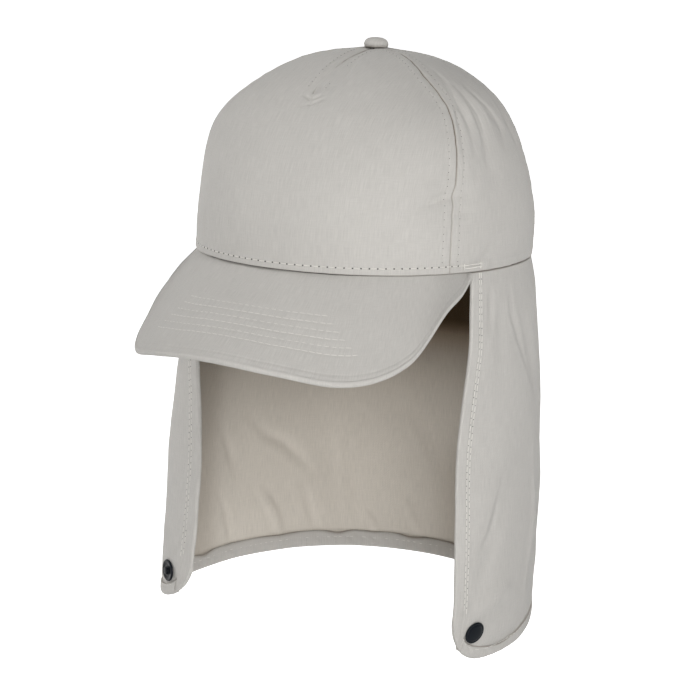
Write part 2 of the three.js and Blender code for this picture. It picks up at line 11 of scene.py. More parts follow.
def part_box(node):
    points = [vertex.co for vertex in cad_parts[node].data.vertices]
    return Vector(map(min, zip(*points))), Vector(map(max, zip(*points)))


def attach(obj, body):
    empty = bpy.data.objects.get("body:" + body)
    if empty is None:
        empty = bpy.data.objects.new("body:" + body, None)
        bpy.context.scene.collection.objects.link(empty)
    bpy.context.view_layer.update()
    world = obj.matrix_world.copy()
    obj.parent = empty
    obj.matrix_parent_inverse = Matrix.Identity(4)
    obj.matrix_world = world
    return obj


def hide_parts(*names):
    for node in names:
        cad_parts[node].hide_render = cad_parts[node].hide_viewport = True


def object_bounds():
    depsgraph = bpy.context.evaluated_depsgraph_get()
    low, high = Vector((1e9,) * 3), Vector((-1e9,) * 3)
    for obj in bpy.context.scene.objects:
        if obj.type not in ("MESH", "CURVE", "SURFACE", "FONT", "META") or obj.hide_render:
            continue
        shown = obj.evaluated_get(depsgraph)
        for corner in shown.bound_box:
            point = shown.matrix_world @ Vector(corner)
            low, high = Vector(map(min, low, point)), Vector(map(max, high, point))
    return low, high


bl_info = {
    "name": "Five-panel cap with a neck flap",
    "version": (1, 0, 0),
    "blender": (4, 5, 0),
    "location": "3D View > Sidebar > Cap",
    "description": "Makes the cap's cloth pieces, stitching and studs around its packed solids",
    "category": "Object",
}

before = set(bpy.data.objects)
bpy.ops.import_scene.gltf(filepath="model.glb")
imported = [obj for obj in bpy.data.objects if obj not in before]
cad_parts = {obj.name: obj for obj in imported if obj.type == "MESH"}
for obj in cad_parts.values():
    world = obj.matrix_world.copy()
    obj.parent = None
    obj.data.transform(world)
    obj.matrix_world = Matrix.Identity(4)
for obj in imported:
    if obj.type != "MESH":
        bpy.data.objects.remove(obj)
CAD_BOX = [list(corner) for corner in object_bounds()]
MM = 0.001

# The cap's form, as in the part: millimetres, and degrees round the head from the front by the wearer's left.
RIM_HALF_WIDTH = 86.5
RIM_HALF_LENGTH = 101.0
RIM_SQUARENESS = 2.15
CROWN_HEIGHT = 109.0
RIM_TUCK = 1.0
RIM_TUCK_HEIGHT = 14.0
CROWN_WALL = 1.5
FRONT_SEAM_ANGLE = 58.5
FRONT_SEAM_BOW = 6.5
REAR_SEAM_ANGLE = 128.0
TOP_HOLE_RADIUS = 2.6
DART_END_RISE = 0.567
CROWN_UPRIGHT = [(0, 2.25), (60, 2.4), (120, 2.4), (180, 2.5)]
CROWN_FULL = [(0, 1.9), (60, 2.5), (120, 2.6), (180, 2.5)]
FRONT_SEAM = [(0, 0), (0.12, 0.06), (0.3, 0.6), (0.5, 1), (0.7, 0.4), (0.85, 0.65), (1, 1)]

SWEATBAND_WALL = 1.2
SWEATBAND_HEIGHT = 30.0
SWEATBAND_BELOW_RIM = 3.4
SWEATBAND_EASE = 0.8

PEAK_HALF_ANGLE = 68.0
PEAK_REACH = 51.0
PEAK_FRONT_FULLNESS = 48.5
PEAK_SIDE_BULGE = 15.0
PEAK_SIDE_LENGTH = 70.0
PEAK_THICKNESS = 3.2
PEAK_DEEPEST = 46.0
PEAK_EDGE = [(0, 0.77), (0.25, 0.88), (0.5, 0.99), (0.7, 0.8), (0.85, 0.31), (0.94, 0.15), (1, 0)]
PEAK_EDGE_START = (PEAK_EDGE[1][1] - PEAK_EDGE[0][1]) / PEAK_EDGE[1][0]
PEAK_MIDDLE_ROUNDING = 0.16
PEAK_FAR_DIP_AT = -0.845
PEAK_FAR_DIP_SPREAD = 0.065
PEAK_FAR_DIP = 0.104
PEAK_CLOTH_REACH = 158.0

FLAP_LENGTH = 203.0
FLAP_WALL = 1.2
FLAP_CORNER_RADIUS = 30.0
FLAP_SWING_LENGTH = 52.0
FRONT_HEM_WIDTH = 9.5
FLAP_START_ANGLE = PEAK_HALF_ANGLE + 1
CORNER_CURL = 8.0
CURL_HEIGHT = 36.0
CURL_SPREAD = 38.0
LEFT_EDGE = [
    (0, 0), (0.1, 0), (0.2, 0.3), (0.3, 2.2), (0.4, 3.6), (0.5, 4),
    (0.62, 3.6), (0.77, 2.6), (0.9, 2.1), (1, 2),
]
RIGHT_EDGE = [
    (0, 0), (0.03, 0.7), (0.1, 5.5), (0.2, 11.5), (0.3, 15), (0.4, 17.3),
    (0.5, 18.6), (0.62, 19), (0.77, 18.3), (0.9, 17), (1, 16),
]
FLAP_FLARE = 13.0
FLAP_SIDE_EXTRA = 6.5
FLAP_OUT = [
    (64, 0.3), (84, 0.7), (100, 0.85), (112, 0.91), (130, 0.95), (150, 0.95), (180, 0.9),
    (210, 1), (237, 1.15), (260, 1.5), (278, 1.8), (291, 1.65), (308, -0.2), (312, -0.65),
]
FLAP_LONGER = [
    (64, 1.4), (84, 1.55), (100, 1.25), (112, 0.75), (130, 0.35), (150, 0.15), (180, 0),
    (210, 0.05), (237, 0.05), (260, 0.3), (278, 0.65), (291, 0.85), (308, 1), (312, 1),
]
BINDING_WIDTH = 7.5
BINDING_WALL = 0.8
BINDING_TUCK = 1.0
INNER_BINDING_WIDTH = 8.8

STUD_CAP_RADIUS = 6.3
STUD_CAP_THICKNESS = 1.8
STUD_BACK_RADIUS = 5.0
STUD_BACK_THICKNESS = 2.0
STUD_POST_RADIUS = 1.9
STUD_BEHIND_HEM = 1.2
STUD_EASE = 0.45
STUD_FROM_FRONT = FRONT_HEM_WIDTH + STUD_BEHIND_HEM + STUD_CAP_RADIUS

CLEARANCE = 0.3

# Dents of the crown: angle, rise, spread, tall, depth as a share of DENT_DEPTH. Below 0 it is a bulge.
DENT_DEPTH = 2.0
CROWN_DENTS = [
    (58, 0.2, 9, 0.07, 1), (80, 0.3, 7, 0.1, 0.6), (40, 0.09, 8, 0.06, 0.6),
    (-42, 0.12, 7, 0.1, 0.5), (-58, 0.41, 24, 0.19, -3), (125, 0.32, 22, 0.13, 0.75),
]

# The flap's main folds, as in the part: from angle and share down, to angle and share down, then the width
# as a share of FOLD_WIDTH and the depth as a share of FOLD_DEPTH.
FOLD_WIDTH = 9.0
FOLD_DEPTH = 2.4
FOLD_END = 0.08
FLAP_FOLDS = [
    (96, 0.02, 116, 0.45, 0.8, -0.85), (84, 0.02, 84, 0.3, 0.7, -0.6), (92, 0.55, 74, 0.88, 0.8, -0.85),
    (142, 0.3, 128, 0.85, 1, 1), (172, 0.4, 170, 0.95, 0.9, 0.75), (158, 0.7, 150, 0.98, 0.8, 0.65),
    (212, 0.3, 186, 0.75, 1, 0.75), (222, 0.6, 212, 0.98, 0.9, 0.85),
]

# Finer creases of the cloth. path: places as (angle, rise) on the crown or (angle, share down) on the flap.
# width and out are millimetres: half the breadth, and how far it stands out.
CROWN_CREASES = [
    {"path": [(66, 0.208), (60, 0.191), (54, 0.184), (44, 0.152)], "width": 3.0, "out": -1.7},
    {"path": [(66, 0.24), (56, 0.222), (46, 0.196)], "width": 4.5, "out": 0.9},
    {"path": [(71, 0.15), (65, 0.142), (59, 0.138)], "width": 1.8, "out": -1.0},
    {"path": [(42, 0.1), (39, 0.066), (35, 0.036)], "width": 3.5, "out": -1.0},
    {"path": [(74, 0.76), (76, 0.626), (70, 0.514), (67, 0.382), (65, 0.24)], "width": 2.0, "out": -1.0},
    {"path": [(74, 0.7), (72, 0.547), (74, 0.441), (73, 0.32)], "width": 2.2, "out": -1.3},
    {"path": [(80, 0.62), (83, 0.497), (83, 0.408), (80, 0.29)], "width": 3.0, "out": -1.7},
    {"path": [(78, 0.6), (78, 0.5), (78, 0.4)], "width": 2.6, "out": 0.9},
    {"path": [(90, 0.6), (98, 0.47), (100, 0.418), (96, 0.35)], "width": 3.4, "out": -1.5},
    {"path": [(88, 0.6), (90, 0.5), (90, 0.38)], "width": 3.6, "out": 1.1},
    {"path": [(75, 0.28), (69, 0.237)], "width": 3.4, "out": -0.96},
    {"path": [(86, 0.065), (72, 0.026)], "width": 3.2, "out": -1.28},
    {"path": [(67, 0.05), (73, 0.035), (80, 0.05)], "width": 2.6, "out": 0.8},
    {"path": [(-30, 0.11), (-28, 0.04)], "width": 3.0, "out": -0.8},
    {"path": [(-17, 0.12), (-13, 0.04)], "width": 3.0, "out": -0.8},
    {"path": [(-3, 0.553), (1.5, 0.535), (5, 0.557)], "width": 1.2, "out": -2.0},
    {"path": [(-1, 0.503), (3, 0.515), (7, 0.541)], "width": 1.5, "out": -1.5},
    {"path": [(1, 0.525), (1.5, 0.49)], "width": 2.4, "out": 0.8},
    {"path": [(-4, 0.58), (-5, 0.7), (-8, 0.85)], "width": 5.0, "out": 0.8},
    {"path": [(7, 0.55), (9, 0.66), (12, 0.8)], "width": 4.5, "out": -0.8},
    {"path": [(120, 0.62), (112, 0.42), (116, 0.25)], "width": 4.5, "out": -1.12},
    {"path": [(142, 0.6), (138, 0.4), (146, 0.18)], "width": 5.0, "out": -0.96},
    {"path": [(-74, 0.7), (-80, 0.5), (-76, 0.3)], "width": 4.5, "out": -1.12},
    {"path": [(-110, 0.55), (-118, 0.35)], "width": 4.5, "out": -1.12},
    {"path": [(-160, 0.35), (-168, 0.12)], "width": 5.0, "out": -0.96},
    {"path": [(168, 0.3), (160, 0.1)], "width": 4.5, "out": 0.8},
]
FLAP_CREASES = [
    {"path": [(78, 0.02), (79, 0.09), (78, 0.16)], "width": 3.0, "out": -0.9},
    {"path": [(91, 0.04), (92, 0.12), (98, 0.21), (105, 0.3)], "width": 3.4, "out": -1.2},
    {"path": [(86, 0.56), (82, 0.69), (74, 0.76)], "width": 3.4, "out": -1.2},
    {"path": [(80, 0.9), (90, 0.86), (98, 0.9)], "width": 5.0, "out": 1.05},
    {"path": [(194, 0.44), (194, 0.55), (188, 0.65), (183, 0.74), (180, 0.86)], "width": 4.5, "out": 1.65},
    {"path": [(210, 0.58), (213, 0.67), (212, 0.81), (209, 0.97)], "width": 4.0, "out": 1.35},
    {"path": [(208, 0.88), (202, 0.96)], "width": 3.0, "out": -1.2},
    {"path": [(194, 0.85), (188, 0.96)], "width": 3.0, "out": -1.2},
    {"path": [(249, 0.58), (242, 0.64), (235, 0.67), (224, 0.77)], "width": 4.5, "out": 1.65},
    {"path": [(260, 0.6), (254, 0.74)], "width": 4.0, "out": 1.2},
    {"path": [(244, 0.81), (238, 0.89), (235, 0.97)], "width": 3.6, "out": -1.35},
    {"path": [(261, 0.8), (257, 0.87), (255, 0.96)], "width": 3.4, "out": 1.2},
    {"path": [(228, 0.8), (222, 0.97)], "width": 3.6, "out": 1.2},
    {"path": [(174, 0.8), (170, 0.97)], "width": 3.4, "out": -1.2},
    {"path": [(132, 0.1), (138, 0.35), (134, 0.6)], "width": 5.0, "out": -1.35},
    {"path": [(160, 0.06), (156, 0.3)], "width": 4.5, "out": 1.2},
    {"path": [(108, 0.5), (112, 0.7), (106, 0.92)], "width": 4.5, "out": 1.2},
    {"path": [(120, 0.86), (124, 0.97)], "width": 3.4, "out": -1.2},
    {"path": [(282, 0.2), (276, 0.45)], "width": 4.5, "out": -1.2},
    {"path": [(268, 0.05), (262, 0.3)], "width": 4.5, "out": 1.2},
]

# Sewing
RIM_ROW_HEIGHT = 3.9
RIM_ROW_HALF_ANGLE = 66.0
BAR_TACK_ANGLES = (64.5, 73.0)
BAR_TACK_HEIGHTS = (2.5, 4.0)
HEM_ROWS = (6.7, 8.6)
BINDING_ROW = 1.3
PEAK_ROW_COUNT = 6
PEAK_ROW_FIRST = 15.0
PEAK_ROW_STEP = 4.5
SWEATBAND_ROWS = (2.6, 5.2)
# Needle holes are small dark discs of painted shadow: their share of the cloth's colour, and their thickness.
HOLE_SHADOW_DARKNESS = 0.22
HOLE_DEPTH = 0.0003


def along(rows, x):
    """A smooth curve through rows of (place, value), read at x."""
    rows = np.asarray(rows, float)
    xs, ys = rows[:, 0], rows[:, 1]
    x = np.asarray(x, float)
    slopes = np.empty(len(xs))
    slopes[1:-1] = (ys[2:] - ys[:-2]) / (xs[2:] - xs[:-2])
    slopes[0] = (ys[1] - ys[0]) / (xs[1] - xs[0])
    slopes[-1] = (ys[-1] - ys[-2]) / (xs[-1] - xs[-2])
    i = np.clip(np.searchsorted(xs, x, side="right") - 1, 0, len(xs) - 2)
    span = xs[i + 1] - xs[i]
    t = np.clip((x - xs[i]) / span, 0, 1)
    t2, t3 = t * t, t * t * t
    values = ys[i] * (2 * t3 - 3 * t2 + 1) + ys[i + 1] * (3 * t2 - 2 * t3)
    return values + span * (slopes[i] * (t3 - 2 * t2 + t) + slopes[i + 1] * (t3 - t2))


def polar(angle, radius, z):
    a = np.radians(angle)
    return np.stack(np.broadcast_arrays(radius * np.sin(a), -radius * np.cos(a), z), -1).astype(float)


def wrapped(angle):
    return (np.asarray(angle, float) + 180) % 360 - 180


def lerp(a, b, t):
    return a + (b - a) * t


def bell(distance, width):
    return np.exp(-((distance / width) ** 2))


def ramp(value, width):
    """Runs smoothly from 0 at -width to 1 at +width."""
    t = np.clip(value / (2 * width) + 0.5, 0, 1)
    return t * t * (3 - 2 * t)


def rounded(distance, radius):
    """How far a folded edge of this radius falls back, by the distance from the edge."""
    x = 1 - np.clip(distance / radius, 0, 1)
    return radius * (1 - np.sqrt(np.maximum(0, 1 - x * x)))


def steady(points, wavelength, seed):
    """Smooth unevenness between about -1 and 1, the same each run."""
    draw = np.random.default_rng(seed)
    total = 0
    for _ in range(14):
        direction = draw.normal(size=3)
        direction /= np.linalg.norm(direction)
        length = wavelength * draw.uniform(0.7, 1.6)
        total = total + np.sin(points @ direction * (2 * math.pi / length) + draw.uniform(0, 2 * math.pi))
    return total / 5


def rim_radius(angle):
    a = np.radians(angle)
    across = np.abs(np.sin(a)) / RIM_HALF_WIDTH
    ahead = np.abs(np.cos(a)) / RIM_HALF_LENGTH
    return (across**RIM_SQUARENESS + ahead**RIM_SQUARENESS) ** (-1 / RIM_SQUARENESS)


def outward(surface, u, v, step=1e-4):
    """The normal of a surface of two values, pointing away from the head."""
    along_u = surface(u + step, v) - surface(u - step, v)
    along_v = surface(u, v + step) - surface(u, v - step)
    normal = np.cross(along_u, along_v)
    normal /= np.maximum(np.linalg.norm(normal, axis=-1, keepdims=True), 1e-12)
    here = surface(u, v)
    side = np.sign((normal[..., :2] * here[..., :2]).sum(-1))
    return normal * np.where(side == 0, 1, side)[..., None]


def creased(points, creases, place):
    """How far the cloth stands out at points, from creases along paths on the same surface."""
    total = np.zeros(points.shape[:-1])
    for crease in creases:
        path = np.array([place(*spot) for spot in crease["path"]])
        lengths = np.linalg.norm(np.diff(path, axis=0), axis=1)
        whole = lengths.sum()
        nearest = np.full(total.shape, 1e9)
        share = np.zeros(total.shape)
        for i, length in enumerate(lengths):
            start, run = path[i], path[i + 1] - path[i]
            t = np.clip((points - start) @ run / (length * length), 0, 1)
            away = np.linalg.norm(points - start - t[..., None] * run, axis=-1)
            closer = away < nearest
            nearest = np.where(closer, away, nearest)
            share = np.where(closer, (lengths[:i].sum() + t * length) / whole, share)
        fade = np.sin(math.pi * np.clip(share, 0.1, 0.9))
        x = (nearest / crease["width"]) ** 2
        total += crease["out"] * fade * (1 - 0.45 * x) * np.exp(-x)
    return total


def path_lengths(points):
    return np.concatenate([[0], np.cumsum(np.linalg.norm(np.diff(points, axis=0), axis=1))])


# Crown


def crown_surface(angle, rise):
    angle = np.asarray(angle, float)
    rise = np.asarray(rise, float)
    from_front = np.abs(wrapped(angle))
    turn = rise * math.pi / 2
    share = np.maximum(np.cos(turn), 0) ** (2 / along(CROWN_FULL, from_front))
    z = CROWN_HEIGHT * np.maximum(np.sin(turn), 0) ** (2 / along(CROWN_UPRIGHT, from_front))
    tuck = RIM_TUCK * bell(z, RIM_TUCK_HEIGHT)
    dent = 0
    for at, level, spread, tall, depth in CROWN_DENTS:
        near = bell(wrapped(angle - at), spread) * bell(rise - level, tall)
        dent = dent + DENT_DEPTH * depth * near
    return polar(angle, rim_radius(angle) * share - tuck - dent, z)


def crown_normal(angle, rise):
    normal = outward(crown_surface, angle, np.maximum(rise, 2e-3))
    level = polar(angle, np.ones_like(np.asarray(angle, float)), 0 * np.asarray(rise, float))
    return np.where(np.asarray(rise)[..., None] > 0, normal, level)


TOP_RISE = (2 / math.pi) * math.acos((TOP_HOLE_RADIUS / RIM_HALF_WIDTH) ** (CROWN_FULL[1][1] / 2))


def front_seam(rise):
    return FRONT_SEAM_ANGLE + FRONT_SEAM_BOW * along(FRONT_SEAM, rise)


def fixed(angle):
    return lambda rise: angle + 0 * np.asarray(rise, float)


PANELS = {
    "front_panel": (lambda rise: -front_seam(rise), front_seam),
    "side_panel_left": (front_seam, fixed(REAR_SEAM_ANGLE)),
    "rear_panel_left": (fixed(REAR_SEAM_ANGLE), fixed(180)),
    "rear_panel_right": (fixed(180), fixed(360 - REAR_SEAM_ANGLE)),
    "side_panel_right": (fixed(360 - REAR_SEAM_ANGLE), lambda rise: 360 - front_seam(rise)),
}

MERIDIAN_RISES = np.linspace(0, TOP_RISE, 1500)
MERIDIAN = path_lengths(crown_surface(60 + 0 * MERIDIAN_RISES, MERIDIAN_RISES))
MERIDIAN_LENGTH = MERIDIAN[-1]


def rise_at(height):
    """The rise at a distance up the crown from its rim, along the cloth."""
    return np.interp(height, MERIDIAN, MERIDIAN_RISES)


def height_at(rise):
    return np.interp(rise, MERIDIAN_RISES, MERIDIAN)


RIM_STEPS = [0, 0.2, 0.45, 0.8, 1.3, 1.9, 2.5, 3.0, 3.35, 3.65, 3.9, 4.15, 4.45, 4.9, 5.5, 6.2, 7.0]
SEAM_STEPS = np.array(
    [0, 0.25, 0.5, 0.8, 1.2, 1.8, 2.6, 3.4, 4.0, 4.4, 4.7, 5.0, 5.3, 5.6, 6.1, 6.9, 8.0, 9.4, 11.2])
CLOTH_STEP = 1.9
TOP_GATHER = 0.6
TOP_GATHER_SPREAD = 9.0
TOP_HOLLOW = 1.1
BUTTON_FOOT = 6.4


def seam_relief(distance, up, look):
    """The cloth beside a seam: rolled in at the join, lifted by its edges and drawn in by a needle row."""
    row = look.seam_row / MM
    sunk = 0.45 + 0.25 * ramp(up - 55, 25)
    join = -sunk * bell(distance, 0.42)
    lifted = 0.26 * ramp(row + 0.9 - distance, 1.0)
    drawn = -0.2 * bell(distance - row, 0.55)
    return join + lifted + drawn


def crown_relief(angle, rise, seams, look, dart):
    """What stands out from the crown's even form. seams: distances from the panel's two seams."""
    points = crown_surface(angle, rise)
    up = height_at(rise)
    relief = creased(points, CROWN_CREASES, crown_surface)
    relief += 0.28 * steady(points, 46, 3) + 0.09 * steady(points, 15, 4)
    near_seam = np.zeros_like(up)
    for distance in seams:
        relief += seam_relief(distance, up, look)
        near_seam = np.maximum(near_seam, bell(distance, 7))
    if dart:
        side = np.abs(points[..., 0])
        sewn = ramp(up - height_at(DART_END_RISE), 1.6)
        relief += sewn * (seam_relief(side, up, look) - 0.9 * bell(side, 5))
        near_seam = np.maximum(near_seam, sewn * bell(side, 6))
    pulled = np.maximum(near_seam, bell(up, 7))
    relief += 0.2 * pulled * steady(points, 7.5, 5)
    ahead = np.abs(wrapped(angle)) < RIM_ROW_HALF_ANGLE + 4
    relief -= 0.26 * np.where(ahead, bell(up - RIM_ROW_HEIGHT, 0.55), 0)
    relief += 0.25 * ramp(RIM_ROW_HEIGHT + 1 - up, 0.9) * np.where(ahead, 1, 0.5)
    reach = np.hypot(points[..., 0], points[..., 1])
    relief += TOP_GATHER * bell(reach, TOP_GATHER_SPREAD) * ramp(reach - BUTTON_FOOT, 0.8)
    relief -= TOP_HOLLOW * bell(rise - 0.7, 0.22)
    return relief - rounded(up, 0.55)


def seam_shade(distance, up):
    """The painted shade in a seam: strongest up on the crown, where the seam is deepest."""
    return (0.34 + 0.5 * ramp(up - 50, 22)) * bell(distance, 0.42)


def spread_columns(width, count):
    """Distances from 0 to width, close together at both ends."""
    ends = SEAM_STEPS * min(1.0, 0.47 * width / SEAM_STEPS[-1])
    middle = np.linspace(ends[-1], width - ends[-1], count + 1)[1:-1]
    return np.concatenate([ends, middle, width - ends[::-1]])


def panel_grid(name):
    """Angles, rises and distances from both seams, over a panel."""
    start_seam, end_seam = PANELS[name]
    above = np.linspace(8, MERIDIAN_LENGTH, int(MERIDIAN_LENGTH / CLOTH_STEP))
    heights = np.concatenate([RIM_STEPS, above])
    if name == "front_panel":
        low, high = height_at(0.48), height_at(DART_END_RISE) + 3
        close = np.arange(low, high, 0.7)
        heights = np.concatenate([heights[heights < low], close, heights[heights > high]])
    widest = 0
    rows = []
    for height in heights:
        rise = float(rise_at(height))
        fine = np.linspace(float(start_seam(rise)), float(end_seam(rise)), 240)
        lengths = path_lengths(crown_surface(fine, rise + 0 * fine))
        widest = max(widest, lengths[-1])
        rows.append((rise, fine, lengths))
    angles, rises, left, right = [], [], [], []
    for rise, fine, lengths in rows:
        whole = lengths[-1]
        if name == "front_panel":
            half = spread_columns(whole / 2, int((widest / 2 - 22) / CLOTH_STEP))
            places = np.concatenate([half, whole / 2 + half[1:]])
        else:
            places = spread_columns(whole, int((widest - 22) / CLOTH_STEP))
        angles.append(np.interp(places, lengths, fine))
        rises.append(np.full(len(places), rise))
        left.append(places)
        right.append(whole - places)
    return tuple(np.array(part) for part in (angles, rises, left, right))


def crown_place(angle, rise, look, proud=0.0):
    """A place on the finished crown cloth and its normal, for sewing that lies on it."""
    angle, rise = np.broadcast_arrays(np.asarray(angle, float), np.asarray(rise, float))
    radius = np.linalg.norm(crown_surface(angle, rise)[..., :2], axis=-1)
    turned = wrapped(angle)
    seams = [front_seam(rise), -front_seam(rise), REAR_SEAM_ANGLE, -REAR_SEAM_ANGLE, 180]
    away = [np.abs(np.radians(wrapped(turned - seam))) * radius for seam in seams]
    nearest = np.min(away, axis=0)
    dart = np.abs(turned) < 50
    relief = crown_relief(angle, rise, [nearest], look, False)
    with_dart = crown_relief(angle, rise, [nearest], look, True)
    normal = crown_normal(angle, rise)
    height = np.where(dart, with_dart, relief) + proud
    return crown_surface(angle, rise) + normal * height[..., None], normal


# Peak


def peak_outline(share):
    corner = polar(PEAK_HALF_ANGLE, rim_radius(PEAK_HALF_ANGLE), 0.0)
    front = -RIM_HALF_LENGTH - PEAK_REACH
    p0, p1 = np.array([0, front]), np.array([PEAK_FRONT_FULLNESS, front])
    p2 = np.array([corner[0] + PEAK_SIDE_BULGE, corner[1] - PEAK_SIDE_LENGTH])
    t = np.asarray(share, float)[..., None]
    return p0 * (1 - t) ** 3 + 3 * p1 * t * (1 - t) ** 2 + 3 * p2 * t * t * (1 - t) + corner[:2] * t**3


def peak_ends(side):
    """The inner and outer end of the line across the peak at a side from -1 to 1."""
    side = np.asarray(side, float)
    angle = side * PEAK_HALF_ANGLE
    inner = polar(angle, rim_radius(angle) - RIM_TUCK - CROWN_WALL, -CLEARANCE)
    share = np.abs(side)
    edge = peak_outline(share)
    rounding = np.maximum(PEAK_MIDDLE_ROUNDING - share, 0) ** 2 / (2 * PEAK_MIDDLE_ROUNDING)
    far_dip = PEAK_FAR_DIP * bell(side - PEAK_FAR_DIP_AT, PEAK_FAR_DIP_SPREAD)
    level = along(PEAK_EDGE, share) + PEAK_EDGE_START * rounding + far_dip
    drop = -CLEARANCE - PEAK_DEEPEST * level
    outer = np.stack([np.sign(side) * edge[..., 0], edge[..., 1], drop], -1)
    return inner, outer


def peak_surface(side, out):
    """A place on the peak's top, out from 0 at the rim to 1 at the edge."""
    inner, outer = peak_ends(side)
    return inner + (outer - inner) * np.asarray(out, float)[..., None]


def peak_normal(side, out):
    side = np.clip(side, -0.999, 0.999)
    step = 1e-4
    across = peak_surface(side + step, out) - peak_surface(side - step, out)
    ahead = peak_surface(side, out + step) - peak_surface(side, out - step)
    normal = np.cross(across, ahead)
    normal /= np.maximum(np.linalg.norm(normal, axis=-1, keepdims=True), 1e-12)
    return normal * np.where(normal[..., 2:] < 0, -1, 1)


def peak_row_span(row):
    """Where a stitch row across the peak starts and ends, as sides: the rows nearer the edge are longer."""
    share = 1 - row / (PEAK_ROW_COUNT - 1)
    return -lerp(0.28, 0.37, share), lerp(0.34, 0.49, share)


def peak_from_edge(side, out):
    inner, outer = peak_ends(side)
    return np.linalg.norm(outer - inner, axis=-1) * (1 - out)


def peak_relief(side, out):
    points = peak_surface(side, out)
    edge = peak_from_edge(side, out)
    relief = 0.22 * steady(points, 40, 8) + 0.05 * steady(points, 9, 9)
    for row in range(PEAK_ROW_COUNT):
        start, end = peak_row_span(row)
        inside = ramp(side - start, 0.01) * ramp(end - side, 0.01)
        relief -= 0.22 * inside * bell(edge - PEAK_ROW_FIRST - row * PEAK_ROW_STEP, 0.7)
    relief += 0.14 * bell(edge - 1.2, 1.5) - 0.13 * bell(edge - 3.3, 0.7)
    return relief


# Neck flap


def swing(down):
    return 1 - np.exp(-np.asarray(down, float) / FLAP_SWING_LENGTH)


def flap_edges(down):
    share = np.asarray(down, float) / FLAP_LENGTH
    return FLAP_START_ANGLE - along(LEFT_EDGE, share), 360 - FLAP_START_ANGLE + along(RIGHT_EDGE, share)


FLAP_RADIUS = RIM_HALF_WIDTH + FLAP_FLARE
FLAP_ARC = math.radians(float(flap_edges(FLAP_LENGTH)[1] - flap_edges(FLAP_LENGTH)[0])) * FLAP_RADIUS


def flap_folds(angle, down):
    arc = math.radians(1) * FLAP_RADIUS
    total = 0
    for angle1, down1, angle2, down2, width, out in FLAP_FOLDS:
        x, y = (angle - angle1) * arc, down - down1 * FLAP_LENGTH
        run_x, run_y = (angle2 - angle1) * arc, (down2 - down1) * FLAP_LENGTH
        share = np.clip((x * run_x + y * run_y) / (run_x**2 + run_y**2), 0, 1)
        away = np.hypot(x - share * run_x, y - share * run_y) / (FOLD_WIDTH * width)
        fade = np.sin(math.pi * np.clip(share, FOLD_END, 1 - FOLD_END))
        total = total + FOLD_DEPTH * out * fade * np.exp(-away * away)
    return total


def flap_form(angle, down):
    """The flap's even form with its main folds, as in the part."""
    angle, down = np.broadcast_arrays(np.asarray(angle, float), np.asarray(down, float))
    left, right = flap_edges(0.0)
    left_here, right_here = flap_edges(down)
    seam = lerp(left, right, (angle - left_here) / (right_here - left_here))
    hanging = rim_radius(angle) + FLAP_FLARE * along(FLAP_OUT, angle)
    share = swing(down) / swing(FLAP_LENGTH)
    settled = np.minimum(1, down / FLAP_SWING_LENGTH)
    low = np.maximum(0, 1 - (FLAP_LENGTH + FLAP_SIDE_EXTRA - down) / CURL_HEIGHT)
    behind = np.radians(angle - left_here) * FLAP_RADIUS
    curl = CORNER_CURL * low * low * bell(behind, CURL_SPREAD)
    radius = lerp(rim_radius(seam) - RIM_TUCK, hanging, share) + settled * flap_folds(angle, down) - curl
    return polar(angle, radius, -CLEARANCE - down)


def flap_crease_place(angle, share):
    return flap_form(angle, share * FLAP_LENGTH)


def flap_surface(angle, down):
    """The flap with its finer creases and unevenness, which both faces share."""
    points = flap_form(angle, down)
    left, right = flap_edges(down)
    around = np.clip((angle - left) / (right - left), 0, 1)
    behind_hem = np.minimum(around, 1 - around) * FLAP_ARC - FRONT_HEM_WIDTH - 0.6
    from_bottom = flap_bottom(around) - down
    tucked = BINDING_TUCK * ramp(BINDING_WIDTH + 1.0 - from_bottom, 1.0) * ramp(behind_hem, 0.5)
    loose = ramp(np.asarray(down, float) - 10, 9)
    out = loose * (1.25 * creased(points, FLAP_CREASES, flap_crease_place) + 0.5 * steady(points, 52, 11))
    out = out + (0.15 + 0.85 * loose) * 0.1 * steady(points, 17, 12) - tucked
    across = polar(angle, np.ones_like(points[..., 0]), 0.0)
    return points + across * out[..., None]


def flap_normal(angle, down):
    normal = outward(flap_surface, angle, np.maximum(down, 0.05), 1e-2)
    level = polar(angle, np.ones_like(np.asarray(angle, float)), 0 * np.asarray(down, float))
    blend = ramp(np.asarray(down, float) - 1.5, 1.5)[..., None]
    mixed = level * (1 - blend) + normal * blend
    return mixed / np.linalg.norm(mixed, axis=-1, keepdims=True)


def flap_depth_shade(angle, down):
    """How much painted shade darkens the flap's inside: dark up behind the crown's rim, and a little beside
    the far edges.
    """
    behind = bell(wrapped(angle - 190), 75)
    high = np.exp(-((np.maximum(down - 53, 0) / 30) ** 1.3))
    beside = 0.22 * ramp(angle - 263, 5) + 0.3 * bell(angle - 172, 11) * ramp(down - 135, 20)
    return np.clip(high * (0.45 + 0.55 * behind) + beside, 0, 1)


def flap_angle(around, down):
    left, right = flap_edges(down)
    return lerp(left, right, around)


def flap_place(around, down):
    """A place on the flap and its normal."""
    angle = flap_angle(around, down)
    return flap_surface(angle, down), flap_normal(angle, down)


def corner_rise(from_front):
    across = np.maximum(0, FLAP_CORNER_RADIUS - from_front)
    return FLAP_CORNER_RADIUS - np.sqrt(FLAP_CORNER_RADIUS**2 - across**2)


def flap_bottom(around):
    longer = along(FLAP_LONGER, flap_angle(around, FLAP_LENGTH))
    from_front = np.minimum(around, 1 - around) * FLAP_ARC
    return FLAP_LENGTH + FLAP_SIDE_EXTRA * longer - corner_rise(from_front)


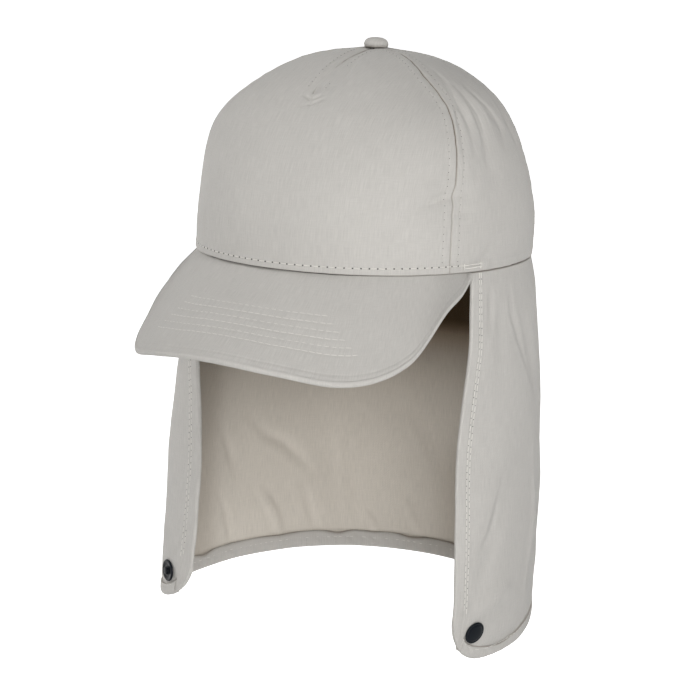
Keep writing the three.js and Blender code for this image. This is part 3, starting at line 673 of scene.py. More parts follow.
def stud_rise():
    """How far above the bottom edge a stud sits, so that its rim clears the binding round the corner."""
    reach = STUD_CAP_RADIUS + CLEARANCE
    turns = math.pi * np.linspace(0, 1, 17)
    needed = BINDING_WIDTH + reach * np.sin(turns) + corner_rise(STUD_FROM_FRONT - reach * np.cos(turns))
    return float(needed.max() - corner_rise(STUD_FROM_FRONT))


# Meshes


def mesh_object(name, points, faces, uv=None, **values):
    """A smooth mesh from millimetres. values: numbers for each point, which the cloth's material reads."""
    mesh = bpy.data.meshes.new(name)
    mesh.from_pydata((np.asarray(points) * MM).tolist(), [], faces)
    corners = np.empty(len(mesh.loops), dtype=np.int64)
    mesh.loops.foreach_get("vertex_index", corners)
    if uv is not None:
        layer = mesh.uv_layers.new(name="cloth")
        layer.data.foreach_set("uv", (np.asarray(uv) * MM)[corners].astype(np.float32).ravel())
    for title, numbers in values.items():
        made = mesh.attributes.new(title, "FLOAT", "POINT")
        made.data.foreach_set("value", np.asarray(numbers, dtype=np.float32).ravel())
    mesh.shade_smooth()
    mesh.set_sharp_from_angle(angle=math.radians(50))
    mesh.update()
    obj = bpy.data.objects.new(name, mesh)
    bpy.context.scene.collection.objects.link(obj)
    return obj


def signed_volume(points, faces):
    quads = np.asarray(faces)
    a, b, c, d = (points[quads[:, i]] for i in range(4))
    first = np.einsum("ij,ij->i", a, np.cross(b, c))
    second = np.einsum("ij,ij->i", a, np.cross(c, d))
    return float((first + second).sum())


def grid_body(name, outside, inside, uv, shade, goes_round=False, inner_shade=0.0, reverse=0.0):
    """A closed body between two grids of points, which run the same way. The last argument is 1 where the
    inner face shows the back of the cloth, which gets a painted lighter, warmer light there; inner_shade is
    painted shade on the inner face."""
    rows, columns = outside.shape[:2]
    count = rows * columns
    points = np.concatenate([outside.reshape(-1, 3), inside.reshape(-1, 3)])
    near = np.arange(count).reshape(rows, columns)
    if goes_round:
        near = np.hstack([near, near[:, :1]])
    far = near + count

    def quads(a, b, c, d):
        return np.stack([a.ravel(), b.ravel(), c.ravel(), d.ravel()], -1)

    faces = [
        quads(near[:-1, :-1], near[:-1, 1:], near[1:, 1:], near[1:, :-1]),
        quads(far[:-1, :-1], far[1:, :-1], far[1:, 1:], far[:-1, 1:]),
        quads(near[0, 1:], near[0, :-1], far[0, :-1], far[0, 1:]),
        quads(near[-1, :-1], near[-1, 1:], far[-1, 1:], far[-1, :-1]),
    ]
    if not goes_round:
        faces.append(quads(near[:-1, 0], near[1:, 0], far[1:, 0], far[:-1, 0]))
        faces.append(quads(near[1:, -1], near[:-1, -1], far[:-1, -1], far[1:, -1]))
    faces = np.concatenate(faces)
    if signed_volume(points, faces) < 0:
        faces = faces[:, ::-1]
    uv = np.asarray(uv).reshape(-1, 2)
    shades = np.concatenate([shade.ravel(), (0 * shade + inner_shade).ravel()])
    reverses = np.concatenate([0 * shade.ravel(), (0 * shade + reverse).ravel()])
    both = np.concatenate([uv, uv])
    return mesh_object(name, points, faces.tolist(), both, shade=shades, reverse=reverses)


def turned_body(profile, segments, ripple=None):
    """A body turned about +Z from (radius, height) pairs that end on the axis or close on themselves."""
    profile = np.asarray(profile, float)
    closed = profile[0, 0] > 0
    ring_rows = profile if closed else profile[1:-1]
    turns = np.linspace(0, 2 * math.pi, segments, endpoint=False)
    radius = ring_rows[:, 0:1] + 0 * turns
    if ripple is not None:
        radius = radius + ripple(ring_rows[:, 1:2], turns)
    rings = np.stack([radius * np.cos(turns), radius * np.sin(turns), ring_rows[:, 1:2] + 0 * turns], -1)
    points = rings.reshape(-1, 3)
    count = len(ring_rows)
    index = np.arange(count * segments).reshape(count, segments)
    faces = []
    for i in range(count if closed else count - 1):
        low, high = index[i], index[(i + 1) % count]
        faces += np.stack([low, np.roll(low, -1), np.roll(high, -1), high], -1).tolist()
    if not closed:
        first, last = len(points), len(points) + 1
        points = np.concatenate([points, [[0, 0, profile[0, 1]], [0, 0, profile[-1, 1]]]])
        faces += [[first, b, a] for a, b in zip(index[0], np.roll(index[0], -1))]
        faces += [[last, a, b] for a, b in zip(index[-1], np.roll(index[-1], -1))]
    return points, faces


def placed(points, place, out):
    """Moves points whose +Z points out of the cloth to a place with that normal."""
    turn = Vector((0, 0, 1)).rotation_difference(Vector(out)).to_matrix()
    return np.asarray(points) @ np.array(turn).T + np.asarray(place)


def declare(obj, slot, *nodes):
    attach(obj, "root")
    if nodes:
        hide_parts(*nodes)


# Materials

WARP_YARN_STRETCH = (2000, 120, 1)
WEFT_YARN_STRETCH = (150, 1700, 1)
WEFT_YARN_SHARE = 0.35
# Painted shade and painted light in the cloth's colour: a tint for the painted shade, how far the deepest
# painted shade darkens, and a tint for the painted lighter, warmer light inside the flap.
SHADE_TINT = (-0.86, -0.93, -1.0)
PAINTED_INSIDE_LIGHT_TINT = (0.19, 0.14, 0.07)
DEEP_SHADE = 0.8
DEEPEST_TONE = 0.35
FINISH_SOCKETS = [
    ("Colour", "NodeSocketColor"),
    ("Roughness", "NodeSocketFloat"),
    ("Height", "NodeSocketFloat"),
]


def add_node(tree, kind, inputs=None, **settings):
    """A new node with its settings. inputs: a value, or the socket that it comes from, for each input."""
    node = tree.nodes.new(kind)
    for title, value in settings.items():
        setattr(node, title, value)
    for title, value in (inputs or {}).items():
        if isinstance(value, bpy.types.NodeSocket):
            tree.links.new(value, node.inputs[title])
        else:
            node.inputs[title].default_value = value
    return node


def set_inputs(node, values):
    for title, value in values.items():
        node.inputs[title].default_value = value


def node_group(name, inputs, outputs):
    group = bpy.data.node_groups.new(name, "ShaderNodeTree")
    for title, kind, value in inputs:
        socket = group.interface.new_socket(title, in_out="INPUT", socket_type=kind)
        if value is not None:
            socket.default_value = value
    for title, kind in outputs:
        group.interface.new_socket(title, in_out="OUTPUT", socket_type=kind)
    return group, group.nodes.new("NodeGroupInput").outputs, group.nodes.new("NodeGroupOutput").inputs


def math_node(tree, operation, *values):
    return add_node(tree, "ShaderNodeMath", dict(enumerate(values)), operation=operation).outputs[0]


def vector_node(tree, operation, inputs):
    return add_node(tree, "ShaderNodeVectorMath", inputs, operation=operation).outputs[0]


def noise_node(tree, vector, scale, detail=2.0):
    inputs = {"Scale": scale, "Detail": detail, "Vector": vector}
    return add_node(tree, "ShaderNodeTexNoise", inputs).outputs["Fac"]


def stretched(tree, vector, scale):
    return add_node(tree, "ShaderNodeMapping", {"Scale": scale, "Vector": vector}).outputs["Vector"]


def object_place(tree):
    return tree.nodes.new("ShaderNodeTexCoord").outputs["Object"]


def twill_height(group, cloth, thread):
    """How high the cloth's upper thread stands: each warp thread passes over two weft threads of three."""

    def thread_height(place):
        part = math_node(group, "FRACT", place)
        centred = math_node(group, "MULTIPLY_ADD", part, 2.0, -1.0)
        return math_node(group, "SUBTRACT", 1.0, math_node(group, "MULTIPLY", centred, centred))

    split = add_node(group, "ShaderNodeSeparateXYZ", {0: cloth})
    warp = math_node(group, "DIVIDE", split.outputs[0], thread)
    weft = math_node(group, "DIVIDE", split.outputs[1], thread)
    step = math_node(group, "ADD", math_node(group, "FLOOR", warp), math_node(group, "FLOOR", weft))
    turn = math_node(group, "FLOORED_MODULO", step, 3.0)
    warp_over = math_node(group, "LESS_THAN", turn, 1.5)
    above = math_node(group, "MULTIPLY", warp_over, thread_height(warp))
    below = math_node(group, "MULTIPLY", math_node(group, "SUBTRACT", 1.0, warp_over), thread_height(weft))
    return math_node(group, "ADD", above, below)


def weave_group():
    """Twill of warp and weft threads with uneven yarn, in the cloth's own flat coordinates."""
    group, start, end = node_group(
        "Cloth weave",
        [
            ("Cloth", "NodeSocketVector", None),
            ("Place", "NodeSocketVector", None),
            ("Colour", "NodeSocketColor", (0.5, 0.5, 0.5, 1)),
            ("Thread", "NodeSocketFloat", 0.0005),
            ("Unevenness", "NodeSocketFloat", 1.0),
            ("Shade", "NodeSocketFloat", 0.0),
            ("Reverse", "NodeSocketFloat", 0.0),
        ],
        FINISH_SOCKETS,
    )
    woven = twill_height(group, start["Cloth"], start["Thread"])
    yarn_up = noise_node(group, stretched(group, start["Cloth"], WARP_YARN_STRETCH), 1.0, 2.0)
    yarn_across = noise_node(group, stretched(group, start["Cloth"], WEFT_YARN_STRETCH), 1.0, 1.0)
    patches = noise_node(group, start["Place"], 22.0, 3.0)
    uneven = math_node(group, "MULTIPLY_ADD", yarn_across, WEFT_YARN_SHARE, yarn_up)
    uneven = math_node(group, "SUBTRACT", uneven, 0.5 + WEFT_YARN_SHARE / 2)
    uneven = math_node(group, "MULTIPLY", uneven, start["Unevenness"])
    tone = math_node(group, "MULTIPLY_ADD", uneven, 0.3, 1.0)
    tone = math_node(group, "MULTIPLY_ADD", math_node(group, "SUBTRACT", patches, 0.5), 0.07, tone)
    tone = math_node(group, "MULTIPLY_ADD", math_node(group, "SUBTRACT", woven, 0.6), 0.05, tone)
    colour = vector_node(group, "SCALE", {0: start["Colour"], "Scale": tone})
    # Painted shade darkens and browns the colour, near black past DEEP_SHADE; the flap's inside gets a painted
    # lighter, warmer light.
    for title, tint in (("Shade", SHADE_TINT), ("Reverse", PAINTED_INSIDE_LIGHT_TINT)):
        effect = vector_node(group, "MULTIPLY_ADD", {0: start[title], 1: tint, 2: (1, 1, 1)})
        colour = vector_node(group, "MULTIPLY", {0: colour, 1: effect})
    limits = {"Value": start["Shade"], "From Min": DEEP_SHADE, "To Min": 1.0, "To Max": DEEPEST_TONE}
    deepest = add_node(group, "ShaderNodeMapRange", limits).outputs[0]
    group.links.new(vector_node(group, "SCALE", {0: colour, "Scale": deepest}), end["Colour"])
    group.links.new(math_node(group, "MULTIPLY_ADD", uneven, 0.1, 0.88), end["Roughness"])
    group.links.new(math_node(group, "MULTIPLY_ADD", uneven, 0.9, woven), end["Height"])
    return group


def thread_group():
    """The twist of a sewing thread along its path, from the place in space."""
    group, start, end = node_group(
        "Thread twist",
        [("Place", "NodeSocketVector", None), ("Colour", "NodeSocketColor", (0.5, 0.5, 0.5, 1))],
        FINISH_SOCKETS,
    )
    inputs = {"Scale": 900, "Distortion": 0.6, "Vector": start["Place"]}
    twist = add_node(group, "ShaderNodeTexWave", inputs, wave_type="BANDS", bands_direction="DIAGONAL")
    spots = noise_node(group, start["Place"], 300.0, 1.0)
    tone = math_node(group, "MULTIPLY_ADD", spots, 0.2, 0.9)
    group.links.new(vector_node(group, "SCALE", {0: start["Colour"], "Scale": tone}), end["Colour"])
    group.links.new(math_node(group, "MULTIPLY_ADD", spots, 0.2, 0.6), end["Roughness"])
    group.links.new(twist.outputs["Fac"], end["Height"])
    return group


def grouped(tree, shader, name, make, bump_height, bump_strength):
    """A shared group that gives the shader its colour, roughness and bump."""
    group = tree.nodes.new("ShaderNodeGroup")
    group.node_tree = bpy.data.node_groups.get(name) or make()
    tree.links.new(object_place(tree), group.inputs["Place"])
    tree.links.new(group.outputs["Colour"], shader.inputs["Base Color"])
    tree.links.new(group.outputs["Roughness"], shader.inputs["Roughness"])
    bumped(tree, shader, group.outputs["Height"], bump_height, bump_strength)
    return group


def new_material(name, colour, roughness):
    material = bpy.data.materials.new(name)
    material.use_nodes = True
    shader = material.node_tree.nodes["Principled BSDF"]
    shader.inputs["Base Color"].default_value = (*colour, 1)
    shader.inputs["Roughness"].default_value = roughness
    material.diffuse_color = (*colour, 1)
    return material, material.node_tree, shader


def bumped(tree, shader, height, distance, strength):
    bump = add_node(tree, "ShaderNodeBump", {"Distance": distance, "Strength": strength, "Height": height})
    tree.links.new(bump.outputs["Normal"], shader.inputs["Normal"])


def mottled(tree, shader, spots, colour, darkest, palest):
    """Spots of the colour between two shares of it."""
    tint = add_node(tree, "ShaderNodeMix", data_type="RGBA")
    tint.inputs["A"].default_value = (*[darkest * part for part in colour], 1)
    tint.inputs["B"].default_value = (*[palest * part for part in colour], 1)
    tree.links.new(spots, tint.inputs["Factor"])
    tree.links.new(tint.outputs["Result"], shader.inputs["Base Color"])


def cloth_material(name, colour, thread, unevenness=1.0):
    made = bpy.data.materials.get(name)
    if made:
        return made
    made, tree, shader = new_material(name, colour, 0.9)
    set_inputs(shader, {"Sheen Weight": 0.12, "Sheen Roughness": 0.5, "Specular IOR Level": 0.25})
    group = grouped(tree, shader, "Cloth weave", weave_group, 0.00012, 0.8)
    set_inputs(group, {"Colour": (*colour, 1), "Thread": thread, "Unevenness": unevenness})
    for title, attribute in (("Shade", "shade"), ("Reverse", "reverse")):
        value = add_node(tree, "ShaderNodeAttribute", attribute_name=attribute)
        tree.links.new(value.outputs["Fac"], group.inputs[title])
    flat = add_node(tree, "ShaderNodeUVMap", uv_map="cloth")
    tree.links.new(flat.outputs["UV"], group.inputs["Cloth"])
    return made


def thread_material(name, colour):
    made = bpy.data.materials.get(name)
    if made:
        return made
    made, tree, shader = new_material(name, colour, 0.65)
    shader.inputs["Sheen Weight"].default_value = 0.2
    group = grouped(tree, shader, "Thread twist", thread_group, 0.00005, 0.6)
    group.inputs["Colour"].default_value = (*colour, 1)
    return made


# Painted shadow of the needle holes: the given dark colour, mottled.
def hole_shadow_material(colour):
    made = bpy.data.materials.get("needle_hole_shadow")
    if made:
        return made
    made, tree, shader = new_material("needle_hole_shadow", colour, 1.0)
    mottled(tree, shader, noise_node(tree, object_place(tree), 900.0), colour, 0.6, 1.3)
    return made


def stud_material(colour):
    made = bpy.data.materials.get("stud_finish")
    if made:
        return made
    made, tree, shader = new_material("stud_finish", colour, 0.4)
    set_inputs(shader, {"Specular IOR Level": 0.11, "Coat Weight": 0.03, "Coat Roughness": 0.25})
    place = object_place(tree)
    broad = noise_node(tree, place, 240.0)
    mottled(tree, shader, broad, colour, 0.75, 1.35)
    tree.links.new(math_node(tree, "MULTIPLY_ADD", broad, 0.2, 0.26), shader.inputs["Roughness"])
    bumped(tree, shader, noise_node(tree, place, 2600.0), 0.00003, 0.4)
    return made


def stage_material(colour):
    """Pale paper that glows a little behind the part, so that the backdrop stays white."""
    made, tree, shader = new_material("studio_paper", colour, 0.95)
    shader.inputs["Emission Color"].default_value = (1, 1, 1, 1)
    place = object_place(tree)
    az = math.radians(CAMERA_AZIMUTH)
    away = {0: place, 1: (-math.sin(az), math.cos(az), 0)}
    behind = add_node(tree, "ShaderNodeVectorMath", away, operation="DOT_PRODUCT").outputs["Value"]
    limits = {"From Min": 0.0, "From Max": 0.35, "To Min": 0.0, "To Max": 0.85, "Value": behind}
    glow = add_node(tree, "ShaderNodeMapRange", limits, interpolation_type="SMOOTHSTEP")
    tree.links.new(glow.outputs["Result"], shader.inputs["Emission Strength"])
    bumped(tree, shader, noise_node(tree, place, 400.0), 0.0001, 0.2)
    return made


# Sewing: Geometry Nodes lay a stitch at even steps along a path.


def path_tree(name, lengths, others):
    """A tree for a path of edges. lengths: title and metres. others: title, kind and value."""
    tree = bpy.data.node_groups.new(name, "GeometryNodeTree")
    tree.is_modifier = True
    face = tree.interface
    face.new_socket("Geometry", in_out="INPUT", socket_type="NodeSocketGeometry")
    for title, value in lengths:
        socket = face.new_socket(title, in_out="INPUT", socket_type="NodeSocketFloat")
        socket.default_value = value
        socket.subtype = "DISTANCE"
    for title, kind, value in others:
        socket = face.new_socket(title, in_out="INPUT", socket_type=kind)
        if value is not None:
            socket.default_value = value
    face.new_socket("Geometry", in_out="OUTPUT", socket_type="NodeSocketGeometry")
    return tree, tree.nodes.new("NodeGroupInput").outputs, tree.nodes.new("NodeGroupOutput").inputs


def spots_on_path(tree, start):
    """Places at even steps along the path, and the attribute up, which points out of the cloth there."""
    curve = add_node(tree, "GeometryNodeMeshToCurve", {"Mesh": start["Geometry"]}).outputs["Curve"]
    steps = add_node(
        tree, "GeometryNodeResampleCurve", {"Curve": curve, "Length": start["Pitch"]}, mode="LENGTH")
    spots = add_node(
        tree, "GeometryNodeCurveToPoints", {"Curve": steps.outputs["Curve"]}, mode="EVALUATED")
    up = add_node(tree, "GeometryNodeInputNamedAttribute", {"Name": "up"}, data_type="FLOAT_VECTOR")
    return spots.outputs, up.outputs["Attribute"]


def laid_on_spots(tree, spots, instance, rotation, smooth):
    laid = add_node(tree, "GeometryNodeInstanceOnPoints", {
        "Points": spots["Points"], "Instance": instance, "Rotation": rotation})
    real = add_node(tree, "GeometryNodeRealizeInstances", {"Geometry": laid.outputs["Instances"]})
    if smooth:
        real = add_node(tree, "GeometryNodeSetShadeSmooth", {"Geometry": real.outputs["Geometry"]})
    return real.outputs["Geometry"]


def coloured(tree, geometry, material, end):
    finish = add_node(tree, "GeometryNodeSetMaterial", {"Geometry": geometry, "Material": material})
    tree.links.new(finish.outputs["Geometry"], end["Geometry"])


def loosened(tree, rotation, start):
    """The rotation with a small random turn about the direction out of the cloth."""
    spread = add_node(tree, "ShaderNodeCombineXYZ", {2: start["Looseness"]}).outputs[0]
    back = vector_node(tree, "SCALE", {"Scale": -1, 0: spread})
    limits = {"Seed": start["Seed"], "Min": back, "Max": spread}
    turn = add_node(tree, "FunctionNodeRandomValue", limits, data_type="FLOAT_VECTOR")
    to_turn = add_node(tree, "FunctionNodeEulerToRotation", {0: turn.outputs["Value"]})
    both = {"Rotation": rotation, "Rotate By": to_turn.outputs[0]}
    return add_node(tree, "FunctionNodeRotateRotation", both, rotation_space="LOCAL").outputs["Rotation"]


def stitch_tree():
    """Stitches of one thread along a path of edges, whose attribute up points out of the cloth."""
    tree, start, end = path_tree(
        "Stitch row",
        [("Pitch", 0.0036), ("Stitch length", 0.0028), ("Thickness", 0.0004), ("Sag", 0.0003)],
        [
            ("Looseness", "NodeSocketFloat", 0.05),
            ("Seed", "NodeSocketInt", 7),
            ("Thread", "NodeSocketMaterial", None),
        ],
    )
    spots, up = spots_on_path(tree, start)
    forward = add_node(tree, "FunctionNodeAlignRotationToVector", {"Vector": spots["Tangent"]}, axis="X")
    upright = add_node(
        tree, "FunctionNodeAlignRotationToVector",
        {"Rotation": forward.outputs["Rotation"], "Vector": up}, axis="Z", pivot_axis="X")
    half = math_node(tree, "MULTIPLY", start["Stitch length"], 0.5)
    low = math_node(tree, "MULTIPLY", start["Sag"], -1.0)
    ends = {"Resolution": 5}
    for title, side in (("Start", -1.0), ("Middle", 0.0), ("End", 1.0)):
        spot = {0: math_node(tree, "MULTIPLY", half, side), 2: low if side else start["Sag"]}
        ends[title] = add_node(tree, "ShaderNodeCombineXYZ", spot).outputs[0]
    arch = add_node(tree, "GeometryNodeCurveQuadraticBezier", ends)
    radius = math_node(tree, "MULTIPLY", start["Thickness"], 0.5)
    section = add_node(
        tree, "GeometryNodeCurvePrimitiveCircle", {"Resolution": 6, "Radius": radius}, mode="RADIUS")
    thread = add_node(tree, "GeometryNodeCurveToMesh", {
        "Fill Caps": True, "Curve": arch.outputs["Curve"], "Profile Curve": section.outputs["Curve"]})
    rotation = loosened(tree, upright.outputs["Rotation"], start)
    coloured(tree, laid_on_spots(tree, spots, thread.outputs["Mesh"], rotation, True), start["Thread"], end)
    return tree


def hole_shadow_tree():
    """Small round dark discs of painted shadow at the needle holes, at even steps along a path, whose
    attribute up points out of the cloth.
    """
    tree, start, end = path_tree(
        "Needle hole shadows",
        [("Pitch", 0.0036), ("Radius", 0.0004), ("Depth", 0.0003)],
        [("Shade", "NodeSocketMaterial", None)],
    )
    spots, up = spots_on_path(tree, start)
    upright = add_node(tree, "FunctionNodeAlignRotationToVector", {"Vector": up}, axis="Z")
    plug = add_node(tree, "GeometryNodeMeshCylinder", {
        "Vertices": 7, "Radius": start["Radius"], "Depth": start["Depth"]})
    rotation = upright.outputs["Rotation"]
    coloured(tree, laid_on_spots(tree, spots, plug.outputs["Mesh"], rotation, False), start["Shade"], end)
    return tree


def laid_on_paths(name, paths, tree, values):
    """Runs a tree on paths of (points, normals) and keeps its result as a plain mesh."""
    points, ups, edges = [], [], []
    for places, normals in paths:
        first = len(points)
        points += (np.asarray(places) * MM).tolist()
        ups += np.asarray(normals).tolist()
        edges += [(first + i, first + i + 1) for i in range(len(places) - 1)]
    mesh = bpy.data.meshes.new(name + "_paths")
    mesh.from_pydata(points, edges, [])
    up = mesh.attributes.new("up", "FLOAT_VECTOR", "POINT")
    up.data.foreach_set("vector", np.asarray(ups, dtype=np.float32).ravel())
    obj = bpy.data.objects.new(name, mesh)
    bpy.context.scene.collection.objects.link(obj)
    modifier = obj.modifiers.new("sewing", "NODES")
    modifier.node_group = tree
    sockets = {item.name: item.identifier for item in tree.interface.items_tree if item.in_out == "INPUT"}
    for title, value in values.items():
        modifier[sockets[title]] = value
    evaluated = obj.evaluated_get(bpy.context.evaluated_depsgraph_get())
    made = bpy.data.meshes.new_from_object(evaluated)
    if not made.polygons:
        raise RuntimeError(name + " came out empty")
    obj.modifiers.remove(modifier)
    obj.data = made
    bpy.data.meshes.remove(mesh)
    made.name = name
    return obj


def sew(name, slot, paths, look, thread, thickness=None, length=None, pitch=None, sag=0.00016, loose=0.05):
    tree = bpy.data.node_groups.get("Stitch row") or stitch_tree()
    values = {
        "Pitch": pitch or look.stitch_pitch,
        "Stitch length": length or look.stitch_length,
        "Thickness": thickness or look.thread_thickness,
        "Sag": sag,
        "Looseness": loose,
        "Thread": thread,
    }
    obj = laid_on_paths(name, paths, tree, values)
    declare(obj, slot)
    return obj


# Lays dark discs of painted needle-hole shadow along the paths.
def lay_hole_shadows(name, slot, paths, look, shade, radius=None, pitch=None):
    tree = bpy.data.node_groups.get("Needle hole shadows") or hole_shadow_tree()
    values = {
        "Pitch": pitch or look.stitch_pitch,
        "Radius": radius or look.hole_radius,
        "Depth": HOLE_DEPTH,
        "Shade": shade,
    }
    obj = laid_on_paths(name, paths, tree, values)
    declare(obj, slot)
    return obj


def shifted(path, by):
    """The same path with its two ends drawn in by a length."""
    points, normals = path
    lengths = path_lengths(points)
    keep = np.linspace(by, lengths[-1] - by, len(points))
    move = lambda rows: np.stack([np.interp(keep, lengths, rows[:, i]) for i in range(3)], -1)
    return move(points), move(normals)


# The user's sizes and colours


class CapLook(bpy.types.PropertyGroup):
    """Sizes of the sewing and colours of the cloth that a user would change."""

    stitch_pitch: FloatProperty(
        name="Stitch pitch", description="From one stitch to the next", default=0.0036, min=0.001,
        subtype="DISTANCE", unit="LENGTH")
    stitch_length: FloatProperty(
        name="Stitch length", description="Length of thread that shows", default=0.0029, min=0.0005,
        subtype="DISTANCE", unit="LENGTH")
    rim_pitch: FloatProperty(
        name="Rim stitch pitch", description="From one stitch of the crown's lower row to the next",
        default=0.0042, min=0.001, subtype="DISTANCE", unit="LENGTH")
    thread_thickness: FloatProperty(
        name="Thread", description="Thickness of the sewing thread", default=0.00042, min=0.0001,
        subtype="DISTANCE", unit="LENGTH")
    hole_radius: FloatProperty(
        name="Needle hole", description="Radius of a needle hole", default=0.00034, min=0.0001,
        subtype="DISTANCE", unit="LENGTH")
    seam_row: FloatProperty(
        name="Needle row", description="From a seam to the needle row beside it", default=0.005, min=0.001,
        subtype="DISTANCE", unit="LENGTH")
    yarn: FloatProperty(
        name="Yarn", description="From one yarn of the cloth to the next", default=0.0005, min=0.0001,
        subtype="DISTANCE", unit="LENGTH")
    cloth: FloatVectorProperty(
        name="Cloth", description="Colour of the stone cloth", default=(0.503, 0.486, 0.458), size=3,
        min=0, max=1, subtype="COLOR")
    thread: FloatVectorProperty(
        name="Thread colour", description="Colour of the sewing thread", default=(0.64, 0.62, 0.58), size=3,
        min=0, max=1, subtype="COLOR")
    band: FloatVectorProperty(
        name="Sweatband", description="Colour of the band inside the crown", default=(0.012, 0.012, 0.013),
        size=3, min=0, max=1, subtype="COLOR")
    stud: FloatVectorProperty(
        name="Studs", description="Colour of the press studs", default=(0.006, 0.008, 0.011), size=3,
        min=0, max=1, subtype="COLOR")
    light: FloatProperty(
        name="Light", description="Strength of the studio light", default=1.0, min=0, subtype="FACTOR")


def look_of(context):
    return context.scene.cap_look


def main_cloth(look):
    return cloth_material("stone_cloth", tuple(look.cloth), look.yarn)


def pale_thread(look):
    return thread_material("pale_thread", tuple(look.thread))


# The painted shadow colour of the needle holes, from the cloth's colour.
def needle_hole_shadow(look):
    return hole_shadow_material(tuple(HOLE_SHADOW_DARKNESS * part for part in look.cloth))


# Pieces


class CapCrown(bpy.types.Operator):
    """Make the five crown panels with their seams, dart and creases"""

    bl_idname = "cap.crown"
    bl_label = "Crown panels"

    def execute(self, context):
        look = look_of(context)
        for name in PANELS:
            self.panel(name, look)
        return {"FINISHED"}

    def panel(self, name, look):
        angle, rise, left, right = panel_grid(name)
        base = crown_surface(angle, rise)
        normal = crown_normal(angle, rise)
        dart = name == "front_panel"
        relief = crown_relief(angle, rise, [left, right], look, dart)
        outside = base + normal * relief[..., None]
        inside = base - normal * CROWN_WALL
        up = height_at(rise)
        middle = left.shape[1] // 2
        uv = np.stack([left - left[:, middle : middle + 1], up], -1)
        # Painted shade: dark in the seams, along the rim's join below and in the sewn dart.
        shade = np.maximum(seam_shade(left, up), seam_shade(right, up))
        shade = np.maximum(shade, 0.45 * bell(up, 0.4))
        if dart:
            sewn = ramp(up - height_at(DART_END_RISE), 1.2)
            shade = np.maximum(shade, sewn * seam_shade(np.abs(base[..., 0]), up))
        made = grid_body(name + "_cloth", outside, inside, uv, shade)
        made.data.materials.append(main_cloth(look))
        declare(made, "crown_cloth", name)


class CapButton(bpy.types.Operator):
    """Make the flat covered button on top"""

    bl_idname = "cap.button"
    bl_label = "Top button"

    def execute(self, context):
        look = look_of(context)
        low, high = (Vector(corner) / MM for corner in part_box("top_button"))
        radius = (high.x - low.x) / 2
        waist = low.z + 1.5
        profile = [(0, low.z), (radius * 0.88, low.z), (radius * 0.95, low.z + 0.3)]
        for turn in np.linspace(-0.35, math.pi / 2, 22):
            reach = abs(math.cos(turn)) ** 0.72 * radius
            rise = math.copysign(abs(math.sin(turn)) ** 0.95, math.sin(turn))
            height = waist + rise * ((high.z - waist) if rise > 0 else (waist - low.z - 0.35))
            profile.append((max(reach, 0.0), height))
        profile[-1] = (0, high.z)

        def gathers(height, turns):
            low_down = ramp(waist + 0.6 - height, 1.2)
            return 0.14 * low_down * np.cos(11 * turns + 0.6 * np.sin(3 * turns))

        points, faces = turned_body(profile, 72, gathers)
        # Painted shade on the button's foot, where it sits on the crown.
        shade = 0.5 * ramp(low.z + 0.5 - points[:, 2], 0.5)
        made = mesh_object("top_button_cloth", points, faces, points[:, :2], shade=shade)
        made.data.materials.append(main_cloth(look))
        declare(made, "crown_cloth", "top_button")
        return {"FINISHED"}


class CapSweatband(bpy.types.Operator):
    """Make the dark band inside the head opening, with its needle rows"""

    bl_idname = "cap.sweatband"
    bl_label = "Sweatband"

    def execute(self, context):
        look = look_of(context)
        angles = np.linspace(0, 360, 240, endpoint=False)
        share = (SWEATBAND_HEIGHT / CROWN_HEIGHT) ** (CROWN_UPRIGHT[1][1] / 2)
        top = height_at((2 / math.pi) * math.asin(share))
        heights = np.concatenate([[-SWEATBAND_BELOW_RIM, -2.4, -1.2], np.linspace(0, top, 22)])
        angle, height = np.meshgrid(angles, heights)
        rise = np.where(height > 0, rise_at(np.maximum(height, 0)), 0)
        beside_crown = CROWN_WALL + SWEATBAND_EASE
        beside_flap = max(beside_crown, 2 * FLAP_WALL + CLEARANCE)
        depth = lerp(beside_flap, beside_crown, ramp(height - 1.5, 1.5))
        base = crown_surface(angle, rise)
        base[..., 2] += np.minimum(height, 0)
        normal = crown_normal(angle, rise)
        waves = 0.12 * steady(base, 12, 21) * ramp(-height + 12, 10)
        from_low = height + SWEATBAND_BELOW_RIM
        drawn = sum(0.25 * bell(from_low - row, 0.7) for row in SWEATBAND_ROWS)
        outer = base - normal * depth[..., None]
        inner = base - normal * (depth + SWEATBAND_WALL - drawn - waves)[..., None]
        around = np.radians(angle) * rim_radius(angle)
        uv = np.stack([around, height], -1)
        made = grid_body("sweatband_cloth", outer, inner, uv, 0 * height, goes_round=True)
        band = cloth_material("band_cloth", tuple(look.band), look.yarn * 1.3, 0.8)
        made.data.materials.append(band)
        declare(made, "dark_cloth", "sweatband")
        thread = thread_material("band_thread", tuple(look.band))
        paths = []
        for row in SWEATBAND_ROWS:
            turns = np.linspace(0, 359.4, 400)
            level = row - SWEATBAND_BELOW_RIM
            lift = rise_at(max(level, 0)) + 0 * turns
            place = crown_surface(turns, lift)
            place[:, 2] += min(level, 0)
            out = crown_normal(turns, lift)
            deep = lerp(beside_flap, beside_crown, ramp(np.array(level - 1.5), 1.5)) + SWEATBAND_WALL - 0.25
            paths.append((place - out * deep, -out))
        sew("sweatband_stitches", "dark_cloth", paths, look, thread)
        return {"FINISHED"}


